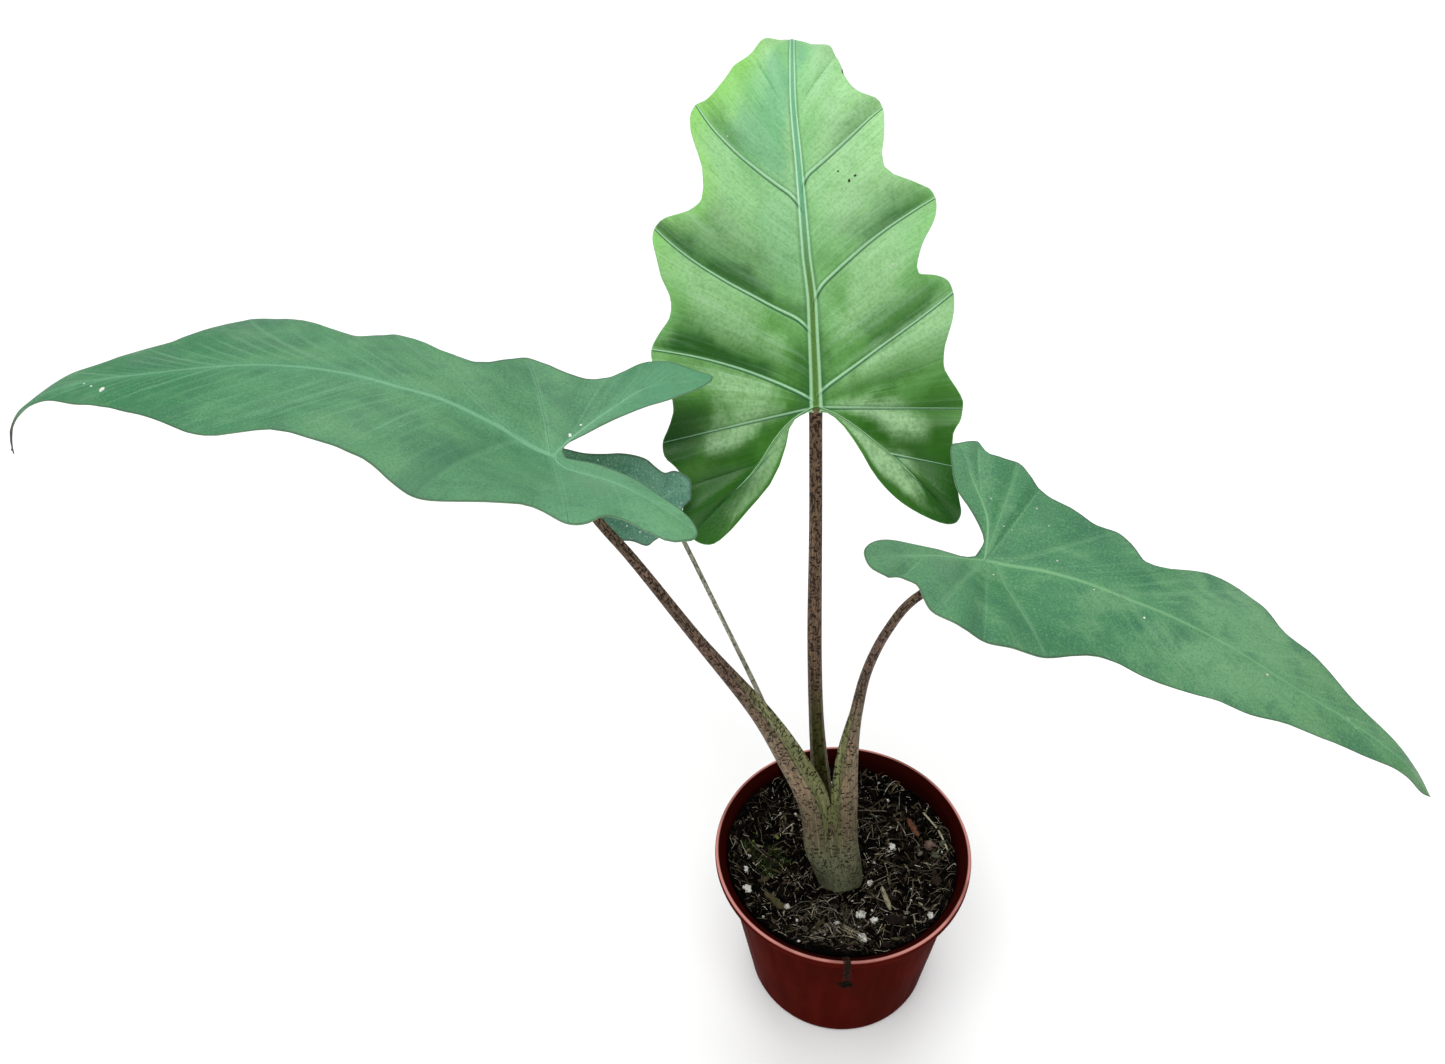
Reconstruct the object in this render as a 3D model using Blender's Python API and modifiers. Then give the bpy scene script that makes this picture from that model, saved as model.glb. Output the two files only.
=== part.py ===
"""Potted alocasia: tapered nursery pot, soil, stem base, four leaf stalks and four arrow-shaped leaf blades.

Lengths are in millimetres until a mesh is made. The origin is the centre of the pot's base, +Z is up.
"""
import math

import bmesh
import bpy
import numpy as np
from mathutils import Vector, noise

MM = 0.001
GAP = 0.3                     # clearance that touching pieces keep

POT_SIDES = 48
RIM_RADIUS = 57.5
POT_HEIGHT = 88.0
WALL_TOP = 84.0               # height where the wall meets the rim
WALL_TOP_RADIUS = 53.2
WALL_FOOT = 6.0
WALL_FOOT_RADIUS = 42.8
WALL = 1.1
FLOOR_TOP = 2.9               # top of the raised floor, between the foot ring and the middle disc
DRAIN_HOLES = 6
DRAIN_RADIUS = 4.0
DRAIN_CIRCLE = 25.0

SOIL_EDGE = 74.0
SOIL_MOUND = 4.0
SOIL_BUMP = 1.5

STALK_FOOT = 106.0            # height where the stalks leave the stem base
STALK_SIDES = 12
BLADE_THICKNESS = 1.0
RAYS_PER_BAY = 4              # mesh rays between two side veins
RAY_STEPS = 5                 # mesh steps from the midrib to the margin

# Stem base: height, centre x, centre y, half width, half depth
STEM_RINGS = (
    (62, -1.5, -9.5, 8.5, 8.0), (70, -1.5, -10.0, 10.2, 9.2), (80, -1.8, -10.0, 10.6, 9.4),
    (90, -3.6, -10.0, 11.4, 9.6), (98, -5.2, -9.6, 12.2, 9.8), (106, -6.8, -9.0, 13.0, 10.2))

# Stalks: axis points, and at each one the half width, the half depth and the depth of the upper channel
STALKS = {
    "centre": dict(
        facing=(0, -1, 0),
        axis=((-6.5, -2, 106), (-9, -3, 127), (-12.5, -1, 155), (-14, 3, 177.5), (-13.5, 9, 201.5),
              (-13.5, 13, 220), (-13, 22, 263), (-12.5, 33.5, 304)),
        size=((4.0, 3.6, 0.2), (3.9, 3.4, 0.8), (3.4, 3.0, 1.0), (2.7, 2.6, 0.8), (2.6, 2.6, 0.3),
              (2.5, 2.5, 0), (2.2, 2.2, 0), (2.0, 2.0, 0))),
    "left": dict(
        facing=(0.75, -0.45, 0.5),
        axis=((-13.4, -12, 106), (-13.8, -12, 122), (-16.8, -12, 140), (-26.3, -12, 169.5),
              (-37, -13, 197.5), (-58.2, -15, 240.5), (-79.2, -16.5, 283.5), (-88.5, -17, 300),
              (-98.5, -18, 328)),
        size=((5.4, 5.8, 0.4), (5.4, 5.9, 1.5), (5.3, 5.9, 2.2), (4.8, 5.2, 2.2), (3.6, 3.6, 1.2),
              (2.3, 2.3, 0), (2.0, 2.0, 0), (1.9, 1.9, 0), (1.8, 1.8, 0))),
    "right": dict(
        facing=(-0.8, -0.35, 0.3),
        axis=((-0.6, -12, 106), (-1.2, -12, 122), (-1.5, -12, 139), (-1.5, -12, 168), (0.5, -13.5, 195.5),
              (3.2, -17, 222.5), (8.8, -22, 248.5), (16.4, -25.5, 266.5), (35, -31, 290)),
        size=((5.4, 5.6, 0.4), (5.4, 5.4, 1.5), (5.2, 5.1, 2.0), (4.4, 4.2, 1.6), (2.8, 2.7, 0.6),
              (2.3, 2.3, 0), (1.9, 1.9, 0), (1.7, 1.7, 0), (1.6, 1.6, 0))),
    "back": dict(
        facing=(0.8, -0.5, 0.3),
        axis=((-14.4, -2.2, 106), (-18, -1.5, 126), (-28.5, 0, 164.5), (-36.8, 1, 194.5), (-50.2, 2, 237.5),
              (-60, 3.5, 270), (-64, 4.5, 280), (-70.5, 3, 290)),
        size=((2.4, 2.4, 0), (2.3, 2.3, 0), (2.1, 2.1, 0), (1.9, 1.9, 0), (1.7, 1.7, 0),
              (1.6, 1.6, 0), (1.5, 1.5, 0), (1.5, 1.5, 0))),
}

# Blades. The spine runs from behind the stalk joint to the drip tip, and its joint is the point numbered
# by joint. Roll, fold and curl are degrees at the lobes, at the joint, at mid length and at the tip: the
# turn about the spine, the rise of each half, and its further rise over 100 mm of width. The funnel is the
# depth and radius of the dip at the joint. Roots are where the side veins leave: a distance along the
# midrib, or, below zero, a share of the lobe vein. Each half lists its margin from tip to sinus as
# (along, across) points, one group for each vein, which starts at that vein's end.
BLADES = {
    "centre": dict(
        side=(-1, 0, 0), joint=3, joint_at=1.5, relief=3.6,
        spine=((-12.5, -10, 244), (-12.5, 3.5, 265), (-12.5, 17, 283.5), (-12.5, 33.5, 304), (-12, 47, 321),
               (-11.5, 61.5, 338), (-12, 77, 354.5), (-12.5, 94, 369), (-13, 113.5, 383), (-12, 134.5, 392),
               (-10.5, 158.5, 392.5), (-10.5, 179, 379.5), (-10.5, 191.5, 362.5)),
        roll=(0, 0, 0, 0), fold=(6, 6, 6, 6), curl=(-5, -5, -8, -8), funnel=(0, 28),
        roots=(206, 138, 106, 76, 41, 9, 0, -0.6, -1),
        halves=(
            (((206, 0), (192, 3.5), (176, 6)), ((158, 8), (145, 11.5)), ((133, 20), (124, 25.5), (116, 32)),
             ((108, 41.5), (98, 39), (84, 35.5), (74, 42), (69, 50)),
             ((64, 57), (51, 54.5), (38, 51), (28, 53)), ((20, 59.5), (10, 54), (0, 50)),
             ((-10, 54), (-21, 48)), ((-31, 46), (-40, 46)),
             ((-46, 42), (-43, 34), (-34, 26), (-23, 17.5), (-12, 12.5), (-4, 9), (-0.5, 4.5), (-0.5, 0))),
            (((206, 0), (192, 3.5), (176, 6)), ((158, 8), (145, 11)), ((132, 15.5), (121, 17), (113, 23)),
             ((106, 31.5), (96, 30), (84, 28.5), (79, 36)), ((74, 47), (64, 44.5), (54, 37), (47, 39)),
             ((42, 50), (29, 49), (15, 45)), ((-1, 51.5), (-12, 47)), ((-22, 48), (-34, 49)),
             ((-43, 46), (-40, 39), (-33, 28), (-24, 20), (-14, 15.5), (-5, 10.5), (-0.5, 5), (-0.5, 0)))),
        lobe_ends=((-33, 34), (-30, 34))),
    "left": dict(
        side=(0, -1, 0), joint=3, joint_at=0, relief=1.6,
        spine=((-35.5, -27, 324.5), (-54, -24, 331), (-74.5, -20.5, 335), (-96.5, -17, 339.5),
               (-117, -13.5, 344), (-137, -9.5, 348.5), (-159, -6, 353), (-182, -2.5, 354.5),
               (-213, 3, 351.5), (-244, 8.5, 346), (-261, 11.5, 341), (-273, 12.5, 335), (-281, 13, 328),
               (-285.5, 13.5, 320.5), (-286.5, 13.5, 314.5)),
        roll=(4, 4, 2, 0), fold=(4, 2, -6, -6), curl=(-8, -8, -20, -20), funnel=(12, 30),
        roots=(207, 150, 120, 84, 38, 8, 0, -0.55, -1),
        halves=(
            (((207, 0), (196, 1.2), (184, 3)), ((170, 7), (156, 10)), ((143, 13.5), (130, 18), (117, 24)),
             ((103, 30.5), (90, 28.5), (77, 27), (66, 30)), ((54, 35), (44, 39), (35, 44)),
             ((26, 49), (14, 47.5), (1, 41)), ((-13, 48.5), (-25, 41)), ((-36, 46), (-45, 49.5)),
             ((-49, 45), (-45, 38), (-34, 28), (-22, 14), (-11, 4.5), (-5, 1.5), (-3, 0))),
            (((207, 0), (196, 1.2), (184, 4)), ((171, 12), (158, 19)), ((145, 26), (135, 36)),
             ((122, 46), (108, 44), (93, 38), (80, 32.5)), ((60, 35), (48, 31), (37, 28), (28, 33)),
             ((18, 38), (5, 35.5), (-7, 38)), ((-13, 43), (-18, 48)), ((-28, 51), (-37, 51.5)),
             ((-41, 47), (-35, 35), (-23, 26), (-12, 18.5), (-6, 12), (-3.5, 5), (-3, 0)))),
        lobe_ends=((-35, 36), (-29, 40))),
    "right": dict(
        side=(0, 1, 0), joint=3, joint_at=4, relief=1.5,
        spine=((-3, -16, 315.6), (13, -22, 307.6), (25.5, -27, 303.6), (36, -31, 299.6), (52, -38, 294.1),
               (72.5, -45.5, 286.6), (91.5, -52.5, 280.1), (110, -59.5, 271.6), (133.5, -68.5, 258.1),
               (158, -77, 244.1), (167.5, -81, 237.1), (176, -83.5, 226.6)),
        roll=(0, 2, 18, 23), fold=(2, 2, -8, -8), curl=(-8, -8, -20, -20), funnel=(10, 28),
        roots=(172, 130, 98, 62, 18, 6, 0, -0.6, -1),
        halves=(
            (((172, 0), (166, 2.5), (156, 4.5)), ((145, 7.5), (132, 13)), ((118, 21.5), (104, 26)),
             ((89, 33), (78, 31), (66, 24.5), (56, 22), (50, 24)),
             ((43, 30), (33, 32), (19, 35.5), (13, 38)), ((8, 43),),
             ((1, 47), (-5, 46.5)), ((-11, 50), (-16, 47)),
             ((-20, 42), (-19, 34), (-15.5, 27), (-9, 21.5), (-1, 16.5), (2.5, 9), (1.5, 0))),
            (((172, 0), (166, 2.5), (156, 4)), ((145, 6), (132, 8.5)), ((118, 11), (104, 15)),
             ((88, 20), (76, 21), (64, 23), (52, 24), (43, 27)), ((31, 35), (24, 39), (17, 43)),
             ((9, 46),), ((-3, 48), (-10, 46), (-15, 38)), ((-20, 36.5), (-28, 43)),
             ((-35, 42), (-36, 35), (-28, 24), (-17, 13.5), (-7, 5.5), (0, 2.5), (1.5, 0)))),
        lobe_ends=((-13, 36), (-28, 34))),
    "back": dict(
        side=(-0.25, -0.55, -0.8), joint=2, joint_at=0, relief=1.2,
        spine=((-48.5, -1, 284.5), (-59, 1, 287.5), (-70.5, 3, 290), (-80.5, 6, 292.5), (-91, 9, 295.5),
               (-103, 13, 298), (-115, 18, 298.5), (-126, 22.5, 295.5), (-134, 26, 289)),
        roll=(0, 0, 0, 0), fold=(4, 4, -4, -4), curl=(-8, -8, -20, -20), funnel=(3, 14),
        roots=(70, 48, 32, 16, 5, 0, -0.6, -1),
        halves=(
            (((70, 0), (65, 1), (58, 3)), ((51, 6), (43, 8.5)), ((36, 11), (29, 12)), ((22, 14), (15, 14)),
             ((8, 16.5), (2, 14.5)), ((-2, 15.5), (-4, 12)), ((-6, 11), (-8, 9)),
             ((-10, 7), (-10.5, 4.5), (-10, 2), (-9.5, 0))),
            (((70, 0), (65, 1), (58, 3)), ((51, 6), (43, 8)), ((36, 10.5), (29, 10.5)),
             ((22, 12), (15, 11.5)), ((8, 13.5), (2, 12)),
             ((-2, 11), (-5, 12.5)), ((-7.5, 12.5), (-10, 10.5)),
             ((-11.5, 7.5), (-11.5, 4.5), (-10, 2), (-9.5, 0)))),
        lobe_ends=((-6, 7), (-7.5, 8))),
}

# Colour (linear) and roughness of each material
MATERIALS = {
    "pot": ((0.15, 0.012, 0.008), 0.45),
    "soil": ((0.018, 0.013, 0.009), 0.95),
    "stem_base": ((0.10, 0.12, 0.045), 0.5),
    "petiole": ((0.13, 0.075, 0.055), 0.5),
    "petiole_pale": ((0.30, 0.30, 0.20), 0.5),
    "blade_centre": ((0.035, 0.17, 0.012), 0.3),
    "blade_mature": ((0.05, 0.18, 0.08), 0.45),
    "blade_old": ((0.035, 0.13, 0.09), 0.5),
}


def through(points, t):
    """Smooth curve through the points, read at the index positions t."""
    p = np.asarray(points, float)
    t = np.clip(np.asarray(t, float), 0, len(p) - 1)
    h = np.sqrt(np.maximum(np.linalg.norm(np.diff(p, axis=0), axis=1), 1e-6))[:, None]
    slope = np.diff(p, axis=0) / h
    middle = (slope[:-1] * h[1:] + slope[1:] * h[:-1]) / (h[:-1] + h[1:])
    m = np.vstack([slope[:1], middle, slope[-1:]])
    i = np.minimum(t.astype(int), len(p) - 2)
    w = (t - i)[..., None]
    h = h[i]
    return ((2 * w**3 - 3 * w**2 + 1) * p[i] + (w**3 - 2 * w**2 + w) * h * m[i]
            + (3 * w**2 - 2 * w**3) * p[i + 1] + (w**3 - w**2) * h * m[i + 1])


def unit(a):
    """Vectors scaled to length 1."""
    a = np.asarray(a, float)
    return a / np.linalg.norm(a, axis=-1, keepdims=True)


def eased(x, stations, values):
    """Values at the stations, joined by eased steps."""
    stations, values = np.asarray(stations, float), np.asarray(values, float)
    x = np.clip(x, stations[0], stations[-1])
    i = np.clip(np.searchsorted(stations, x, side="right") - 1, 0, len(stations) - 2)
    w = (x - stations[i]) / (stations[i + 1] - stations[i])
    w = w * w * (3 - 2 * w)
    return values[i] * (1 - w) + values[i + 1] * w


def blade_surface(spec):
    """Function that places flat blade coordinates (along, across) on the bent blade, and its length."""
    path = through(spec["spine"], np.arange(0, len(spec["spine"]) - 1 + 1e-9, 1 / 24))
    reach = np.r_[0, np.cumsum(np.linalg.norm(np.diff(path, axis=0), axis=1))]
    reach -= reach[24 * spec["joint"]]
    length = reach[-1]
    tangents = unit(np.gradient(path, reach, axis=0))
    side = unit(spec["side"])
    stations = (-45, 0, 0.45 * length, length)
    depth, radius = spec["funnel"]

    def along(u, table):
        return np.stack([np.interp(u, reach, table[:, k]) for k in range(3)], -1)

    def place(u, v):
        u, v = np.asarray(u, float), np.asarray(v, float)
        inside = np.clip(u, reach[0], reach[-1])
        tangent = unit(along(inside, tangents))
        point = along(inside, path) + tangent * (u - inside)[..., None]
        level = unit(side - tangent * (tangent @ side)[..., None])
        up = np.cross(tangent, level)
        roll, fold, curl = (np.radians(eased(u, stations, spec[k])) for k in ("roll", "fold", "curl"))
        across = level * np.cos(roll)[..., None] + up * np.sin(roll)[..., None]
        rise = up * np.cos(roll)[..., None] - level * np.sin(roll)[..., None]
        bend = np.where(np.abs(curl) < 1e-5, 1e-5, curl) / 100
        reached = fold + bend * np.abs(v)
        flat = (np.sin(reached) - np.sin(fold)) / bend
        high = (np.cos(fold) - np.cos(reached)) / bend - depth * np.exp(-(u * u + v * v) / radius**2)
        return point + across * (np.sign(v) * flat)[..., None] + rise * high[..., None]

    return place, length


def blade_rays(spec, half, length, count):
    """Rays from the midrib and the lobe vein to the margin: root, margin point, rise between veins."""
    bays, sign = spec["halves"][half], 1 - 2 * half
    margin = [p for bay in bays for p in bay]
    starts = np.r_[0, np.cumsum([len(bay) for bay in bays[:-1]]), len(margin) - 1]
    joint = np.array([spec["joint_at"], 0.0])
    lobe = np.array(spec["lobe_ends"][half]) * (1, sign)
    lines = []
    for k in range(len(bays) - 1):
        for s in np.arange(count) / count:
            root = spec["roots"][k] * (1 - s) + spec["roots"][k + 1] * s
            lines.append((root, starts[k] * (1 - s) + starts[k + 1] * s, math.sin(math.pi * s) ** 2))
    inner = [-1.0] + [root for root, _, _ in lines if root <= 0][::-1]
    for root, s in zip(inner, np.linspace(0, 1, len(inner))):
        lines.append((root, starts[-2] * (1 - s) + starts[-1] * s, 0.4 * math.sin(math.pi * s) ** 2))
    rays = []
    for root, t, wave in lines:
        on_midrib = np.array([max(min(root, length), spec["joint_at"]), 0.0])
        rays.append((on_midrib if root > 0 else joint * (1 + root) - lobe * root,
                     through(margin, t) * (1, sign), wave))
    return rays


def make_blade(name, spec, material):
    place, length = blade_surface(spec)
    bm = bmesh.new()
    for half, sign in enumerate((1, -1)):
        rays = blade_rays(spec, half, length, RAYS_PER_BAY)
        feet, edges = np.array([r[0] for r in rays]), np.array([r[1] for r in rays])
        waves = np.array([r[2] for r in rays])[:, None]
        share = np.arange(RAY_STEPS + 1) / RAY_STEPS
        flat = feet[:, None] * (1 - share[None, :, None]) + edges[:, None] * share[None, :, None]
        u, v = flat[..., 0], flat[..., 1]
        step = 0.2
        points = place(u, v)
        normal = np.cross(place(u + step, v) - points, (place(u, v + sign * step) - points) * sign)
        reach = np.linalg.norm(edges - feet, axis=1)[:, None]
        height = spec["relief"] * waves * share**1.5 * np.minimum(reach / 25, 1)
        points = points + unit(normal) * height[..., None]
        grid = [[bm.verts.new(Vector(p) * MM) for p in row] for row in points]
        for row, following in zip(grid, grid[1:]):
            for j in range(RAY_STEPS):
                corners = (row[j], row[j + 1], following[j + 1], following[j])
                bm.faces.new(corners if sign > 0 else corners[::-1])
    bmesh.ops.remove_doubles(bm, verts=bm.verts, dist=0.00002)
    bmesh.ops.triangulate(bm, faces=bm.faces)
    blade = add_object(name, bm, material)
    skin = blade.modifiers.new("Thickness", "SOLIDIFY")
    skin.thickness = BLADE_THICKNESS * MM
    skin.offset = -1
    return place


def loft(rings, bm):
    """Closed skin over rings of equal count, with a flat cap on both ends."""
    loops = [[bm.verts.new(Vector(p) * MM) for p in ring] for ring in rings]
    for low, high in zip(loops, loops[1:]):
        for i in range(len(low)):
            j = (i + 1) % len(low)
            bm.faces.new((low[i], low[j], high[j], high[i]))
    bm.faces.new(loops[0][::-1])
    bm.faces.new(loops[-1])
    bmesh.ops.recalc_face_normals(bm, faces=bm.faces)


def add_object(name, bm, material, collection=None):
    mesh = bpy.data.meshes.new(name)
    bm.to_mesh(mesh)
    bm.free()
    if material:
        mesh.materials.append(material)
        mesh.shade_smooth()
        mesh.set_sharp_from_angle(angle=math.radians(45))
    obj = bpy.data.objects.new(name, mesh)
    (collection or PARTS).objects.link(obj)
    return obj


def make_material(name):
    color, roughness = MATERIALS[name]
    material = bpy.data.materials.new(name)
    material.use_nodes = True
    shader = material.node_tree.nodes["Principled BSDF"]
    shader.inputs["Base Color"].default_value = (*color, 1)
    shader.inputs["Roughness"].default_value = roughness
    shader.inputs["Metallic"].default_value = 0
    return material


def section(point, tangent, facing, width, depth, channel):
    """Ring of a stalk: rounded behind, with a channel on the side that faces the plant's middle."""
    front = unit(facing - tangent * (tangent @ facing))
    side = np.cross(tangent, front)
    ring = []
    for k in range(STALK_SIDES):
        angle = 2 * math.pi * k / STALK_SIDES
        x, y = width * math.sin(angle), depth * math.cos(angle)
        if y > 0:
            y -= channel * math.exp(-(math.sin(angle) / 0.5) ** 2)
        ring.append(point + side * x + front * y)
    return ring


def onto_plane(ring, tangent, point, normal):
    """Ring slid along the stalk until it lies on a plane."""
    return [p - tangent * ((p - point) @ normal) / (tangent @ normal) for p in ring]


def make_stalk(name, spec, place, joint_at, material):
    axis = np.array(spec["axis"], float)
    root = place(joint_at, 0.0)
    normal = unit(np.cross(place(joint_at + 0.5, 0.0) - root, place(joint_at, 0.5) - place(joint_at, -0.5)))
    normal = normal * (1 if normal @ (root - axis[-2]) > 0 else -1)
    axis[-1] = root - normal * (BLADE_THICKNESS + 1.5 * GAP)
    stations = np.arange(0, len(axis) - 1 + 1e-9, 0.5)
    points = through(axis, stations)
    ahead = through(axis, np.minimum(stations + 0.02, len(axis) - 1))
    behind = through(axis, np.maximum(stations - 0.02, 0))
    tangents = unit(ahead - behind)
    sizes = through(spec["size"], stations)
    facing = unit(spec["facing"])
    rings = [section(p, t, facing, *size) for p, t, size in zip(points, tangents, sizes)]
    clear = 3.2 * sizes[-1][0]      # no ring lies closer than this to the slanted end
    keep = [i for i in range(1, len(rings) - 1) if np.linalg.norm(points[i] - points[-1]) > clear]
    foot = np.array([0.0, 0.0, STALK_FOOT + GAP])
    rings = ([onto_plane(rings[0], tangents[0], foot, np.array([0.0, 0.0, 1.0]))] + [rings[i] for i in keep]
             + [onto_plane(rings[-1], tangents[-1], points[-1], normal)])
    bm = bmesh.new()
    loft(rings, bm)
    return add_object(name, bm, material)


def stem_ring(row, extra=0.0):
    z, x, y, width, depth = row
    angles = [2 * math.pi * k / 32 for k in range(32)]
    return [(x + (width + extra) * math.cos(a), y + (depth + extra) * math.sin(a), z) for a in angles]


def wall_inner(z):
    """Radius of the wall's inner face at a height."""
    share = (z - WALL_FOOT) / (WALL_TOP - WALL_FOOT)
    return WALL_FOOT_RADIUS + (WALL_TOP_RADIUS - WALL_FOOT_RADIUS) * share - WALL


def make_pot(material):
    profile = (
        (0, 1.4), (13.5, 1.4), (15.5, FLOOR_TOP), (39.6, FLOOR_TOP), (wall_inner(WALL_FOOT), WALL_FOOT),
        (wall_inner(WALL_TOP), WALL_TOP), (53.6, 87.0), (54.8, POT_HEIGHT), (56.6, POT_HEIGHT),
        (RIM_RADIUS, 87.1), (RIM_RADIUS, 85.0), (56.6, WALL_TOP), (WALL_TOP_RADIUS, WALL_TOP),
        (WALL_FOOT_RADIUS, WALL_FOOT), (42.1, 2.0), (40.9, 0.4), (39.4, 0), (35.4, 0), (34.2, 1.6),
        (16.6, 1.6), (14.6, 0), (0, 0))
    bm = bmesh.new()
    points = [bm.verts.new((r * MM, 0, z * MM)) for r, z in profile]
    for a, b in zip(points, points[1:]):
        bm.edges.new((a, b))
    pot = add_object("pot", bm, material)
    turn = pot.modifiers.new("Turn", "SCREW")
    turn.steps = turn.render_steps = POT_SIDES
    turn.use_merge_vertices = True
    turn.merge_threshold = 0.00001
    turn.use_smooth_shade = True
    for k in range(DRAIN_HOLES):
        angle = 2 * math.pi * (k + 0.5) / DRAIN_HOLES
        bm = bmesh.new()
        bmesh.ops.create_cone(bm, cap_ends=True, segments=12, radius1=DRAIN_RADIUS * MM,
                              radius2=DRAIN_RADIUS * MM, depth=10 * MM)
        cutter = add_object(f"drain_cutter_{k + 1}", bm, None, CUTTERS)
        cutter.location = (DRAIN_CIRCLE * MM * math.cos(angle), DRAIN_CIRCLE * MM * math.sin(angle), 2 * MM)
        cut_by(pot, cutter)
    return pot


def cut_by(obj, cutter):
    cutter.hide_render = True
    cutter.display_type = "WIRE"
    cut = obj.modifiers.new("Cut " + cutter.name, "BOOLEAN")
    cut.operation = "DIFFERENCE"
    cut.object = cutter


def soil_height(x, y):
    """Crumbly surface that rises gently to the stem base."""
    rise = SOIL_MOUND * math.exp(-((x + 1.5) ** 2 + (y + 10) ** 2) / 30**2)
    rough = noise.noise(Vector((x / 7, y / 7, 1.7))) + 0.6 * noise.noise(Vector((x / 3.4, y / 3.4, 5.1)))
    return SOIL_EDGE + rise + SOIL_BUMP * rough


def make_soil(material):
    sides = 48
    angles = [2 * math.pi * k / sides for k in range(sides)]
    lining = [(38.4, FLOOR_TOP + GAP), (wall_inner(WALL_FOOT) - 1.0, WALL_FOOT), (wall_inner(40) - GAP, 40)]
    rings = [[(r * math.cos(a), r * math.sin(a), z) for a in angles] for r, z in lining]
    edge = wall_inner(SOIL_EDGE) - GAP
    for r in np.linspace(edge, 3, 13):
        ring = []
        for a in angles:
            x, y = r * math.cos(a), r * math.sin(a)
            ring.append((x, y, soil_height(x, y) if r < edge - 1 else SOIL_EDGE))
        rings.append(ring)
    bm = bmesh.new()
    loft(rings, bm)
    bmesh.ops.triangulate(bm, faces=[f for f in bm.faces if len(f.verts) == 4])
    soil = add_object("soil", bm, material)
    bm = bmesh.new()
    rows = [(STEM_RINGS[0][0] - GAP, *STEM_RINGS[0][1:])] + list(STEM_RINGS[1:])
    loft([stem_ring(row, GAP) for row in rows], bm)
    cut_by(soil, add_object("stem_cutter", bm, None, CUTTERS))
    return soil


for old in list(bpy.data.objects):
    bpy.data.objects.remove(old, do_unlink=True)

PARTS = bpy.data.collections.new("Potted alocasia")
CUTTERS = bpy.data.collections.new("Cutters")
bpy.context.scene.collection.children.link(PARTS)
bpy.context.scene.collection.children.link(CUTTERS)
materials = {name: make_material(name) for name in MATERIALS}

make_pot(materials["pot"])
make_soil(materials["soil"])
stem = bmesh.new()
loft([stem_ring(row) for row in STEM_RINGS], stem)
add_object("stem_base", stem, materials["stem_base"])

blade_looks = {"centre": "blade_centre", "left": "blade_mature",
               "right": "blade_mature", "back": "blade_old"}
for key, blade_spec in BLADES.items():
    surface = make_blade("blade_" + key, blade_spec, materials[blade_looks[key]])
    stalk_look = materials["petiole_pale" if key == "back" else "petiole"]
    make_stalk("petiole_" + key, STALKS[key], surface, blade_spec["joint_at"], stalk_look)
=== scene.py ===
"""Potted alocasia: fine leaf blades, stalks, sheaths, soil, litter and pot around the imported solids.

Lengths are in millimetres until a mesh is made. The origin is the centre of the pot's base, +Z is up.
"""
import math
import random

import bmesh
import bpy
import numpy as np
from mathutils import Matrix, Vector, noise


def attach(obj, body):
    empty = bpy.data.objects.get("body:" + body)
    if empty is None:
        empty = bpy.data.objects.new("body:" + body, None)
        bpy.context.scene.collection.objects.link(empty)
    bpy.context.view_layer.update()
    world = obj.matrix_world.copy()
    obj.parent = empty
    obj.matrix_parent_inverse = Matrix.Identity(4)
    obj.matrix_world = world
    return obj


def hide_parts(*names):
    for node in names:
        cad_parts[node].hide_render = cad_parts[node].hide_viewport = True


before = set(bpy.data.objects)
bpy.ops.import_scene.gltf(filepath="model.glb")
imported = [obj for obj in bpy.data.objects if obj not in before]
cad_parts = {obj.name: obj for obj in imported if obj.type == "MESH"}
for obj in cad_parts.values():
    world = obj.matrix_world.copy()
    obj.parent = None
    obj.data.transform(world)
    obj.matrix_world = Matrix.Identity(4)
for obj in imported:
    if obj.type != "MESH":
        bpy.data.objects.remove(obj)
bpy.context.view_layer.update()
MM = 0.001

# Camera: place, degrees below level, turn about its own axis, lens for a 36 mm wide sensor
CAMERA_PLACE = (-47.7, -318.2, 551.9)
CAMERA_PITCH = 40.7
CAMERA_ROLL = -2.55
CAMERA_LENS = 30.0

# Pot and soil
POT_SIDES = 160
RIM_RADIUS = 57.5
WALL_TOP = 84.0
WALL_TOP_RADIUS = 53.2
WALL_FOOT = 6.0
WALL_FOOT_RADIUS = 42.8
WALL = 0.8
FLOOR_TOP = 2.9
DRAIN_HOLES = 6
DRAIN_RADIUS = 4.0
DRAIN_CIRCLE = 25.0
SOIL_SIDES, SOIL_RINGS = 240, 95
SOIL_REACH = 51.4             # how far out crumbs and fibres lie
SOIL_EDGE = 74.0
SOIL_MOUND = 5.0
SOIL_BUMP = 1.5
SOIL_BANK = 7.5               # how much higher the soil lies against the wall
SOIL_BANK_MORE = 3.0          # and how much that grows towards the front left
# Stem base: height, centre x, centre y, half width, half depth
STEM_RINGS = (
    (62, -1.0, -9.5, 8.0, 7.0), (70, -1.0, -9.8, 9.2, 7.8), (80, -1.4, -9.8, 9.6, 7.8),
    (88, -2.8, -9.8, 9.6, 7.4), (96, -4.6, -9.8, 9.4, 6.8), (103, -6.2, -9.8, 8.6, 6.2),
    (112, -7.0, -10.0, 6.5, 5.4), (122, -7.6, -10.0, 4.0, 4.2))

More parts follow.
